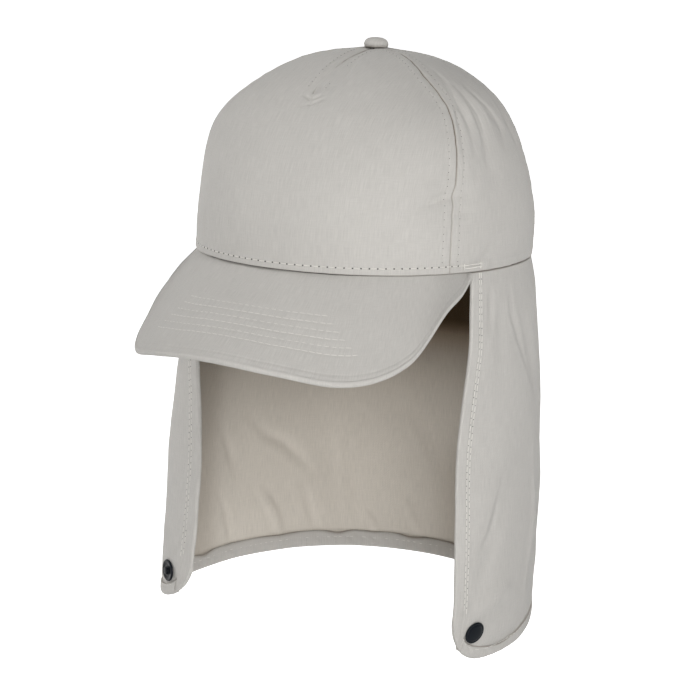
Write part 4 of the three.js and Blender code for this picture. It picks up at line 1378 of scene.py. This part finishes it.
class CapPeak(bpy.types.Operator):
    """Make the curved peak with its rounded edge and its stitch rows"""

    bl_idname = "cap.peak"
    bl_label = "Peak"

    def execute(self, context):
        look = look_of(context)
        turn = np.linspace(-math.pi / 2, math.pi / 2, 231)
        side = 0.35 * np.sin(turn) + 0.65 * np.linspace(-1, 1, 231)
        whole = peak_from_edge(0.0, 0.0)
        lip_steps = np.array([4.4, 3.9, 3.6, 3.3, 3.0, 2.7, 2.2, 1.6, 1.1, 0.6, 0.25, 0])
        steps = np.concatenate([np.linspace(0, 1, 52)[:-4], 1 - lip_steps / whole])
        across, out = np.meshgrid(side, steps)
        relief = peak_relief(across, out)
        normal = peak_normal(across, out)
        top = peak_surface(across, out) + normal * relief[..., None]
        lower = np.array([0, 0, -PEAK_THICKNESS])
        under = peak_surface(across, out) + lower - normal * (0.5 * relief)[..., None]
        inner, outer = peak_ends(side)
        ahead = outer - inner
        ahead[:, 2] = 0
        ahead /= np.maximum(np.linalg.norm(ahead, axis=1, keepdims=True), 1e-9)

        def lip(degrees_down):
            t = math.radians(degrees_down)
            away = PEAK_THICKNESS / 2.4 * math.sin(t)
            level = lerp(top[-1], under[-1], (1 - math.cos(t)) / 2)
            return level + ahead * away

        high = np.concatenate([top, [lip(angle) for angle in (15, 32, 50, 68, 84)]])
        low = np.concatenate([under, [lip(angle) for angle in (165, 148, 130, 112, 96)]])
        length = np.stack([across * PEAK_CLOTH_REACH, out * whole], -1)
        beyond = [np.full(len(side), whole + 0.7 * i) for i in range(1, 6)]
        extra = np.stack([np.stack([side * PEAK_CLOTH_REACH, level], -1) for level in beyond])
        uv = np.concatenate([length, extra])
        made = grid_body("peak_cloth", high, low, uv, np.zeros(high.shape[:2]))
        made.data.materials.append(main_cloth(look))
        declare(made, "peak_cloth", "peak")
        self.rows(look)
        return {"FINISHED"}

    def rows(self, look):
        thread = pale_thread(look)
        paths = []
        for row in range(PEAK_ROW_COUNT):
            start, end = peak_row_span(row)
            side = np.linspace(start, end, 160)
            inner, outer = peak_ends(side)
            length = np.linalg.norm(outer - inner, axis=1)
            out = 1 - (PEAK_ROW_FIRST + row * PEAK_ROW_STEP) / length
            normal = peak_normal(side, out)
            relief = peak_relief(side, out)
            place = peak_surface(side, out)
            paths.append((place + normal * (relief + 0.05)[:, None], normal))
            below = place + np.array([0, 0, -PEAK_THICKNESS]) - normal * (0.5 * relief + 0.03)[:, None]
            paths.append((below, -normal))
        sew("peak_stitches", "peak_cloth", paths, look, thread, thickness=look.thread_thickness * 0.9)


class CapFlap(bpy.types.Operator):
    """Make the neck flap with its turned front edges and folds"""

    bl_idname = "cap.flap"
    bl_label = "Neck flap"

    def execute(self, context):
        look = look_of(context)
        corner = FLAP_CORNER_RADIUS * (1 - np.cos(np.linspace(0, math.pi / 2, 22)))
        close = np.array([
            0.2, 0.45, 0.8, 1.2, 1.8, 2.6, 3.6, 4.6, 5.4, 6.0, 6.35, 6.7, 7.05, 7.4, 7.9, 8.25, 8.6, 8.95,
            9.3, 9.5, 9.8, 10.3, 11, 12.2, 13.6, 15.2, 17, 19, 21, 23])
        near = np.unique(np.round(np.concatenate([corner, close]), 2))
        near = near[np.concatenate([[True], np.diff(near) > 0.12])]
        first = near / FLAP_ARC
        middle = np.linspace(first[-1], 1 - first[-1], int(FLAP_ARC / CLOTH_STEP) + 1)[1:-1]
        around = np.concatenate([first, middle, 1 - first[::-1]])
        rows = np.concatenate([[0, 0.3, 0.7, 1.2, 1.8, 2.6, 3.6], np.linspace(5, FLAP_LENGTH, 112)])
        steps = rows / FLAP_LENGTH
        turn, share = np.meshgrid(around, steps)
        from_front = np.minimum(turn, 1 - turn) * FLAP_ARC
        hemmed = from_front < FRONT_HEM_WIDTH + 0.05
        down = share * (flap_bottom(turn) - np.where(hemmed, 0, BINDING_WALL + CLEARANCE))
        angle = flap_angle(turn, down)
        base = flap_surface(angle, down)
        normal = flap_normal(angle, down)
        relief = -rounded(from_front, 1.1) - rounded(down, 0.45)
        relief += 0.22 * ramp(FRONT_HEM_WIDTH - from_front, 0.7)
        for row in HEM_ROWS:
            relief -= 0.22 * bell(from_front - row, 0.5)
        relief += 0.2 * bell(from_front - 6, 5) * steady(base, 7, 31)
        outside = base + normal * relief[..., None]
        doubled = ramp(FRONT_HEM_WIDTH + 0.1 - from_front, 0.22)
        depth = FLAP_WALL * (1 + 0.95 * doubled) - rounded(from_front, 1.1)
        for row in HEM_ROWS:
            depth = depth - 0.28 * bell(from_front - row, 0.6)
        inside = base - normal * depth[..., None]
        uv = np.stack([(turn - 0.5) * FLAP_ARC, -down], -1)
        # Painted shade along the flap's top join and up inside the flap; beyond the front hems the inside also
        # gets a painted lighter, warmer light.
        shade = 0.45 * bell(down, 0.4)
        deep = flap_depth_shade(angle, down)
        reverse = ramp(from_front - FRONT_HEM_WIDTH - 0.3, 0.3)
        deep = deep * reverse
        made = grid_body("neck_flap_cloth", outside, inside, uv, shade, inner_shade=deep, reverse=reverse)
        made.data.materials.append(main_cloth(look))
        declare(made, "flap_cloth", "neck_flap")
        self.hems(look)
        return {"FINISHED"}

    def hems(self, look):
        thread = pale_thread(look)
        outer, inner = [], []
        for row in HEM_ROWS:
            for around in (row / FLAP_ARC, 1 - row / FLAP_ARC):
                lowest = float(flap_bottom(around)) - (STUD_CAP_RADIUS + stud_rise() + 1.0)
                down = np.linspace(2.0, lowest, 220)
                place, normal = flap_place(around, down)
                outer.append((place + normal * 0.14, normal))
                inner.append((place - normal * (2 * FLAP_WALL - 0.28), -normal))
        sew("front_hem_stitches", "flap_cloth", outer + inner, look, thread)
        # Dark discs of painted shadow at the outer hem rows' needle holes.
        holes = [shifted(path, look.stitch_pitch / MM / 2) for path in outer]
        hole = needle_hole_shadow(look)
        lay_hole_shadows("front_hem_needle_hole_shadows", "flap_cloth", [(p - n * 0.16, n) for p, n in holes], look, hole,
               radius=look.hole_radius * 0.65)


class CapBinding(bpy.types.Operator):
    """Make the binding round the flap's bottom edge, with its puckers and needle row"""

    bl_idname = "cap.binding"
    bl_label = "Flap binding"

    SECTION = [
        (1, 7.5, 0.0), (1, 7.3, 0.22), (1, 7.0, 0.32), (1, 6.6, 0.34), (1, 6.2, 0.22), (1, 5.8, 0.3),
        (1, 5.2, 0.42), (1, 4.2, 0.5), (1, 3.0, 0.52), (1, 2.0, 0.42), (1, 1.2, 0.22), (1, 0.5, -0.12),
        (1, 0.1, -0.7), (0, 0.1, -0.7), (0, 0.5, -0.12), (0, 1.2, 0.22), (0, 2.0, 0.42), (0, 3.0, 0.52),
        (0, 4.2, 0.5), (0, 5.2, 0.42), (0, 5.8, 0.3), (0, 6.2, 0.22), (0, 6.6, 0.34), (0, 7.0, 0.32),
        (0, 7.3, 0.22), (0, 7.5, 0.0),
    ]

    def execute(self, context):
        look = look_of(context)
        start = FRONT_HEM_WIDTH + 2 * CLEARANCE
        around = np.linspace(start / FLAP_ARC, 1 - start / FLAP_ARC, 430)
        outside = CLEARANCE + BINDING_WALL * 0.75
        inside = -FLAP_WALL - CLEARANCE - BINDING_WALL * 0.75
        skin, lining = [], []
        for front, up, puff in self.SECTION:
            arc = around * FLAP_ARC
            wavy = 0.045 * (np.sin(arc / 7.1) + np.sin(arc / 4.3 + 1.7 * np.sin(arc / 19)))
            turned = flap_angle(around, FLAP_LENGTH)
            wavy = wavy - front * (0.27 * bell(turned - 96, 9) - 0.08 * bell(turned - 80, 4))
            up = up * (1.0 if front else INNER_BINDING_WIDTH / BINDING_WIDTH)
            down = flap_bottom(around) - up * (1 + wavy)
            place, normal = flap_place(around, down)
            slant = arc + (0.9 if front else -0.9) * up
            pucker = 0.42 * np.sin(2 * math.pi * slant / 6.3 + 1.7 * np.sin(slant / 11))
            pucker = pucker * (0.5 + 0.5 * np.sin(slant / 17))
            pucker = pucker + 0.22 * np.sin(2 * math.pi * slant / 3.9 + 2.3 * np.sin(slant / 7))
            held = max(0.0, math.sin(math.pi * min(1, up / BINDING_WIDTH))) * 0.8
            height = puff * 0.8 + pucker * held
            offset = outside + height if front else inside - height
            skin.append(place + normal * offset[:, None])
            near = CLEARANCE * 0.4 if front else -FLAP_WALL - CLEARANCE * 0.4
            level = flap_bottom(around) - np.maximum(up * (1 + wavy), BINDING_WALL)
            place, normal = flap_place(around, level)
            lining.append(place + normal * near)
        skin, lining = np.array(skin), np.array(lining)
        heights = path_lengths(skin[:, skin.shape[1] // 2])
        uv = np.stack(np.broadcast_arrays(around[None, :] * FLAP_ARC, heights[:, None]), -1)
        # Painted shade: a dark line along the binding's upper edges, and its inner side dimmer, most towards
        # the back.
        edge = np.array([bell(up - BINDING_WIDTH, 0.45) for _, up, _ in self.SECTION])
        far_side = np.array([1.0 - front for front, _, _ in self.SECTION])[:, None]
        dim = 0.1 + 0.22 * bell(flap_angle(around, FLAP_LENGTH) - 176, 14)
        shade = 0.5 * edge[:, None] + far_side * dim
        made = grid_body("flap_binding_cloth", skin, lining, uv, shade)
        made.data.materials.append(main_cloth(look))
        declare(made, "binding_cloth", "flap_binding")
        self.row(look, around)
        return {"FINISHED"}

    def row(self, look, around):
        place, normal = flap_place(around, flap_bottom(around) - (BINDING_WIDTH - BINDING_ROW))
        out = CLEARANCE + BINDING_WALL * 0.75 + 0.2
        paths = [(place + normal * out, normal), (place - normal * (FLAP_WALL + out), -normal)]
        sew("binding_stitches", "binding_cloth", paths, look, pale_thread(look), thickness=0.00034)


class CapStuds(bpy.types.Operator):
    """Make the two press studs at the flap's front corners"""

    bl_idname = "cap.studs"
    bl_label = "Press studs"

    def execute(self, context):
        look = look_of(context)
        finish = stud_material(tuple(look.stud))
        left = STUD_FROM_FRONT / FLAP_ARC
        pieces = {
            "stud_cap_left": (left, self.cap()),
            "stud_socket_left": (left, self.back()),
            "ball_stud_right": (1 - left, self.ball()),
            "stud_back_right": (1 - left, self.back()),
        }
        for name, (around, profile) in pieces.items():
            points, faces = turned_body(profile, 56)
            down = float(flap_bottom(around)) - stud_rise()
            angle = float(flap_angle(around, down))
            place = flap_form(angle, down)
            out = outward(flap_form, np.array([angle]), np.array([down]))[0]
            made = mesh_object(name + "_finish", placed(points, place, out), faces)
            made.data.materials.append(finish)
            declare(made, "stud_plastic", name)
        return {"FINISHED"}

    def rim(self):
        inner_end = -FLAP_WALL - STUD_EASE - STUD_BACK_THICKNESS
        radius, low = STUD_CAP_RADIUS, STUD_EASE
        return [
            (0, inner_end), (STUD_POST_RADIUS * 0.8, inner_end), (STUD_POST_RADIUS, inner_end + 0.3),
            (STUD_POST_RADIUS, low), (radius * 0.9, low), (radius * 0.96, low + 0.08),
            (radius * 0.99, low + 0.25), (radius, low + 0.5), (radius * 0.99, low + 0.78),
            (radius * 0.95, low + 1.0), (radius * 0.9, low + 1.12), (radius * 0.85, low + 1.1),
        ]

    def cap(self):
        radius, thick, low = STUD_CAP_RADIUS, STUD_CAP_THICKNESS, STUD_EASE
        dome = [(radius * 0.82, low + 0.98), (radius * 0.79, low + 1.02)]
        for share in np.linspace(0.1, 1, 12):
            reach = radius * 0.76 * math.cos(share * math.pi / 2)
            dome.append((reach, low + 1.12 + (thick - 1.12) * math.sin(share * math.pi / 2)))
        dome[-1] = (0, low + thick)
        return self.rim() + dome

    def ball(self):
        radius, low = STUD_CAP_RADIUS, STUD_EASE
        return self.rim() + [
            (radius * 0.72, low + 1.0), (radius * 0.64, low + 0.8), (radius * 0.56, low + 0.72),
            (radius * 0.44, low + 0.74), (radius * 0.38, low + 0.86), (radius * 0.345, low + 1.2),
            (radius * 0.36, low + 1.55), (radius * 0.37, low + 1.8), (radius * 0.35, low + 2.05),
            (radius * 0.29, low + 2.27), (radius * 0.2, low + 2.38), (radius * 0.1, low + 2.42),
            (0, low + 2.43),
        ]

    def back(self):
        hole = STUD_POST_RADIUS + CLEARANCE
        low = -FLAP_WALL - STUD_EASE - STUD_BACK_THICKNESS
        top = -FLAP_WALL - STUD_EASE
        radius = STUD_BACK_RADIUS
        return [
            (hole, low + 0.3), (hole + 0.25, low), (radius * 0.55, low), (radius * 0.62, low + 0.25),
            (radius * 0.7, low + 0.3), (radius * 0.78, low + 0.05), (radius * 0.88, low),
            (radius * 0.96, low + 0.25), (radius, low + 0.7), (radius, top - 0.15), (radius * 0.97, top),
            (hole, top),
        ]


class CapStitching(bpy.types.Operator):
    """Lay the needle rows of the crown's seams, dart and rim, and the two bar tacks"""

    bl_idname = "cap.stitching"
    bl_label = "Crown stitching"

    def execute(self, context):
        look = look_of(context)
        thread = pale_thread(look)
        row = look.seam_row / MM
        paths = []
        heights = np.linspace(4.5, MERIDIAN_LENGTH - 11, 150)
        rises = rise_at(heights)
        seams = [front_seam(rises), -front_seam(rises), REAR_SEAM_ANGLE + 0 * rises,
                 -REAR_SEAM_ANGLE + 0 * rises, 180 + 0 * rises]
        for seam in seams:
            for side in (-1, 1):
                paths.append(self.beside(seam, rises, side * row, look))
        sewn = np.linspace(float(height_at(DART_END_RISE)) + 3, MERIDIAN_LENGTH - 11, 60)
        for side in (-1, 1):
            paths.append(self.beside(0 * sewn, rise_at(sewn), side * row, look))
        fine = thread_material("fine_thread", tuple(look.cloth))
        sew("crown_stitches", "crown_cloth", paths, look, fine, thickness=look.thread_thickness * 0.6)
        # Dark discs of painted shadow at the needle holes beside the seams and dart.
        hole = needle_hole_shadow(look)
        half = look.stitch_pitch / MM / 2
        holes = [shifted((place - normal * 0.08, normal), half) for place, normal in paths]
        lay_hole_shadows("seam_needle_hole_shadows", "crown_cloth", holes, look, hole, radius=look.hole_radius * 0.6)
        angles = np.linspace(-RIM_ROW_HALF_ANGLE, RIM_ROW_HALF_ANGLE, 420)
        level = rise_at(RIM_ROW_HEIGHT) + 0 * angles
        place, normal = crown_place(angles, level, look, 0.14)
        sew("rim_stitches", "crown_cloth", [(place, normal)], look, thread, pitch=look.rim_pitch,
            length=look.rim_pitch * 0.72, thickness=look.thread_thickness * 1.35)
        # Dark discs of painted shadow at the rim row's needle holes, between its stitches.
        between = shifted((place - normal * 0.05, normal), look.rim_pitch / MM / 2)
        lay_hole_shadows("rim_needle_hole_shadows", "crown_cloth", [between], look, hole, radius=look.hole_radius * 1.25,
               pitch=look.rim_pitch)
        self.bar_tacks(look, thread)
        return {"FINISHED"}

    def beside(self, seam, rises, distance, look):
        radius = np.linalg.norm(crown_surface(seam, rises)[..., :2], axis=-1)
        return crown_place(seam + np.degrees(distance / radius), rises, look, 0.1)

    def bar_tacks(self, look, thread):
        rows, bars = [], []
        for side in (-1, 1):
            angles = side * np.linspace(*BAR_TACK_ANGLES, 30)
            for level in BAR_TACK_HEIGHTS:
                rises = rise_at(level - 0.15 + 0.3 * np.linspace(0, 1, 30))
                rows.append(crown_place(angles, rises, look, 0.35))
            for share in (0.0, 0.03, 0.97, 1.0):
                at = side * lerp(*BAR_TACK_ANGLES, share) + np.zeros(6)
                rises = rise_at(np.linspace(BAR_TACK_HEIGHTS[0] - 0.4, BAR_TACK_HEIGHTS[1] + 0.4, 6))
                bars.append(crown_place(at, rises, look, 0.3))
        sew("bar_tack_threads", "crown_cloth", rows, look, thread, thickness=0.00085, length=0.0011,
            pitch=0.00055, sag=0.00006, loose=0.02)
        sew("bar_tack_bars", "crown_cloth", bars, look, thread, thickness=0.00042, length=0.0009,
            pitch=0.0005, sag=0.00006, loose=0.02)


class CapStage(bpy.types.Operator):
    """Set up the pale floor, the soft light and the camera"""

    bl_idname = "cap.stage"
    bl_label = "Stage"

    FLOOR_BELOW = 0.14

    def execute(self, context):
        look = look_of(context)
        self.floor()
        self.lights(look)
        self.camera(context)
        return {"FINISHED"}

    def floor(self):
        low = CAD_BOX[0][2] - self.FLOOR_BELOW
        side, depth, bend, wall = 6.0, 3.0, 1.6, 5.0
        profile = [(-4.0, low)]
        for turn in np.linspace(0, math.pi / 2, 24):
            profile.append((depth + bend * math.sin(turn), low + bend * (1 - math.cos(turn))))
        profile.append((depth + bend, low + wall))
        az = math.radians(CAMERA_AZIMUTH)
        away = np.array([-math.sin(az), math.cos(az)])
        across = np.array([away[1], -away[0]])
        points = []
        for x in (-side, side):
            points += [(*(away * y + across * x), z) for y, z in profile]
        count = len(profile)
        faces = [[i, i + 1, count + i + 1, count + i] for i in range(count - 1)]
        made = mesh_object("studio_floor", np.array(points) / MM, faces)
        made.data.materials.append(stage_material((0.86, 0.86, 0.86)))

    def lights(self, look):
        world = bpy.data.worlds.new("studio_world")
        world.use_nodes = True
        ground = world.node_tree.nodes["Background"]
        ground.inputs["Color"].default_value = (1, 1, 1, 1)
        ground.inputs["Strength"].default_value = 0.04 * look.light
        bpy.context.scene.world = world
        bpy.context.scene.view_settings.view_transform = "Standard"
        lamps = [
            ("front_softbox", (0.872, -1.51, 0.103), 0.9, 15.2),
            ("left_softbox", (-1.434, -0.384, 0.877), 0.9, 15.8),
            ("right_softbox", (1.285, -0.742, 0.877), 0.9, 16.2),
        ]
        for name, place, size, power in lamps:
            data = bpy.data.lights.new(name, "AREA")
            data.shape = "SQUARE"
            data.size = size
            data.energy = power * look.light
            lamp = bpy.data.objects.new(name, data)
            lamp.location = place
            aim = Vector((0, 0, -0.05)) - Vector(place)
            lamp.rotation_euler = aim.to_track_quat("-Z", "Y").to_euler()
            bpy.context.scene.collection.objects.link(lamp)

    def camera(self, context):
        data = bpy.data.cameras.new("photo_camera")
        data.lens = CAMERA_LENS
        data.sensor_width = 36.0
        data.shift_x, data.shift_y = CAMERA_SHIFT
        data.clip_end = 100
        camera = bpy.data.objects.new("photo_camera", data)
        az, el = math.radians(CAMERA_AZIMUTH), math.radians(CAMERA_ELEVATION)
        back = Vector((math.sin(az) * math.cos(el), -math.cos(az) * math.cos(el), math.sin(el)))
        camera.location = Vector(CAMERA_TARGET) + back * CAMERA_DISTANCE
        facing = (-back).to_track_quat("-Z", "Y").to_matrix().to_4x4()
        roll = Matrix.Rotation(math.radians(CAMERA_ROLL), 4, "Z")
        camera.rotation_euler = (facing @ roll).to_euler()
        context.scene.collection.objects.link(camera)
        context.scene.camera = camera


CAMERA_AZIMUTH = 30.62
CAMERA_ELEVATION = 10.88
CAMERA_TARGET = (0.0, -0.010, -0.050)
CAMERA_DISTANCE = 1.0387
CAMERA_ROLL = 2.7
CAMERA_LENS = 97.2
CAMERA_SHIFT = (-0.00386, -0.0142)


class CapPanel(bpy.types.Panel):
    """Lists the cap's sizes and pieces in the sidebar"""

    bl_idname = "CAP_PT_pieces"
    bl_label = "Cap"
    bl_space_type = "VIEW_3D"
    bl_region_type = "UI"
    bl_category = "Cap"

    def draw(self, context):
        look = look_of(context)
        column = self.layout.column()
        for name in CapLook.__annotations__:
            column.prop(look, name)
        for operator in OPERATORS:
            column.operator(operator.bl_idname)


OPERATORS = [
    CapSweatband, CapCrown, CapButton, CapStitching, CapPeak, CapFlap, CapBinding, CapStuds, CapStage,
]
CLASSES = [CapLook, *OPERATORS, CapPanel]


def register():
    for item in CLASSES:
        bpy.utils.register_class(item)
    bpy.types.Scene.cap_look = PointerProperty(type=CapLook)


def unregister():
    del bpy.types.Scene.cap_look
    for item in reversed(CLASSES):
        bpy.utils.unregister_class(item)


def main():
    register()
    for operator in OPERATORS:
        group, name = operator.bl_idname.split(".")
        getattr(getattr(bpy.ops, group), name)()


if __name__ == "__main__":
    main()
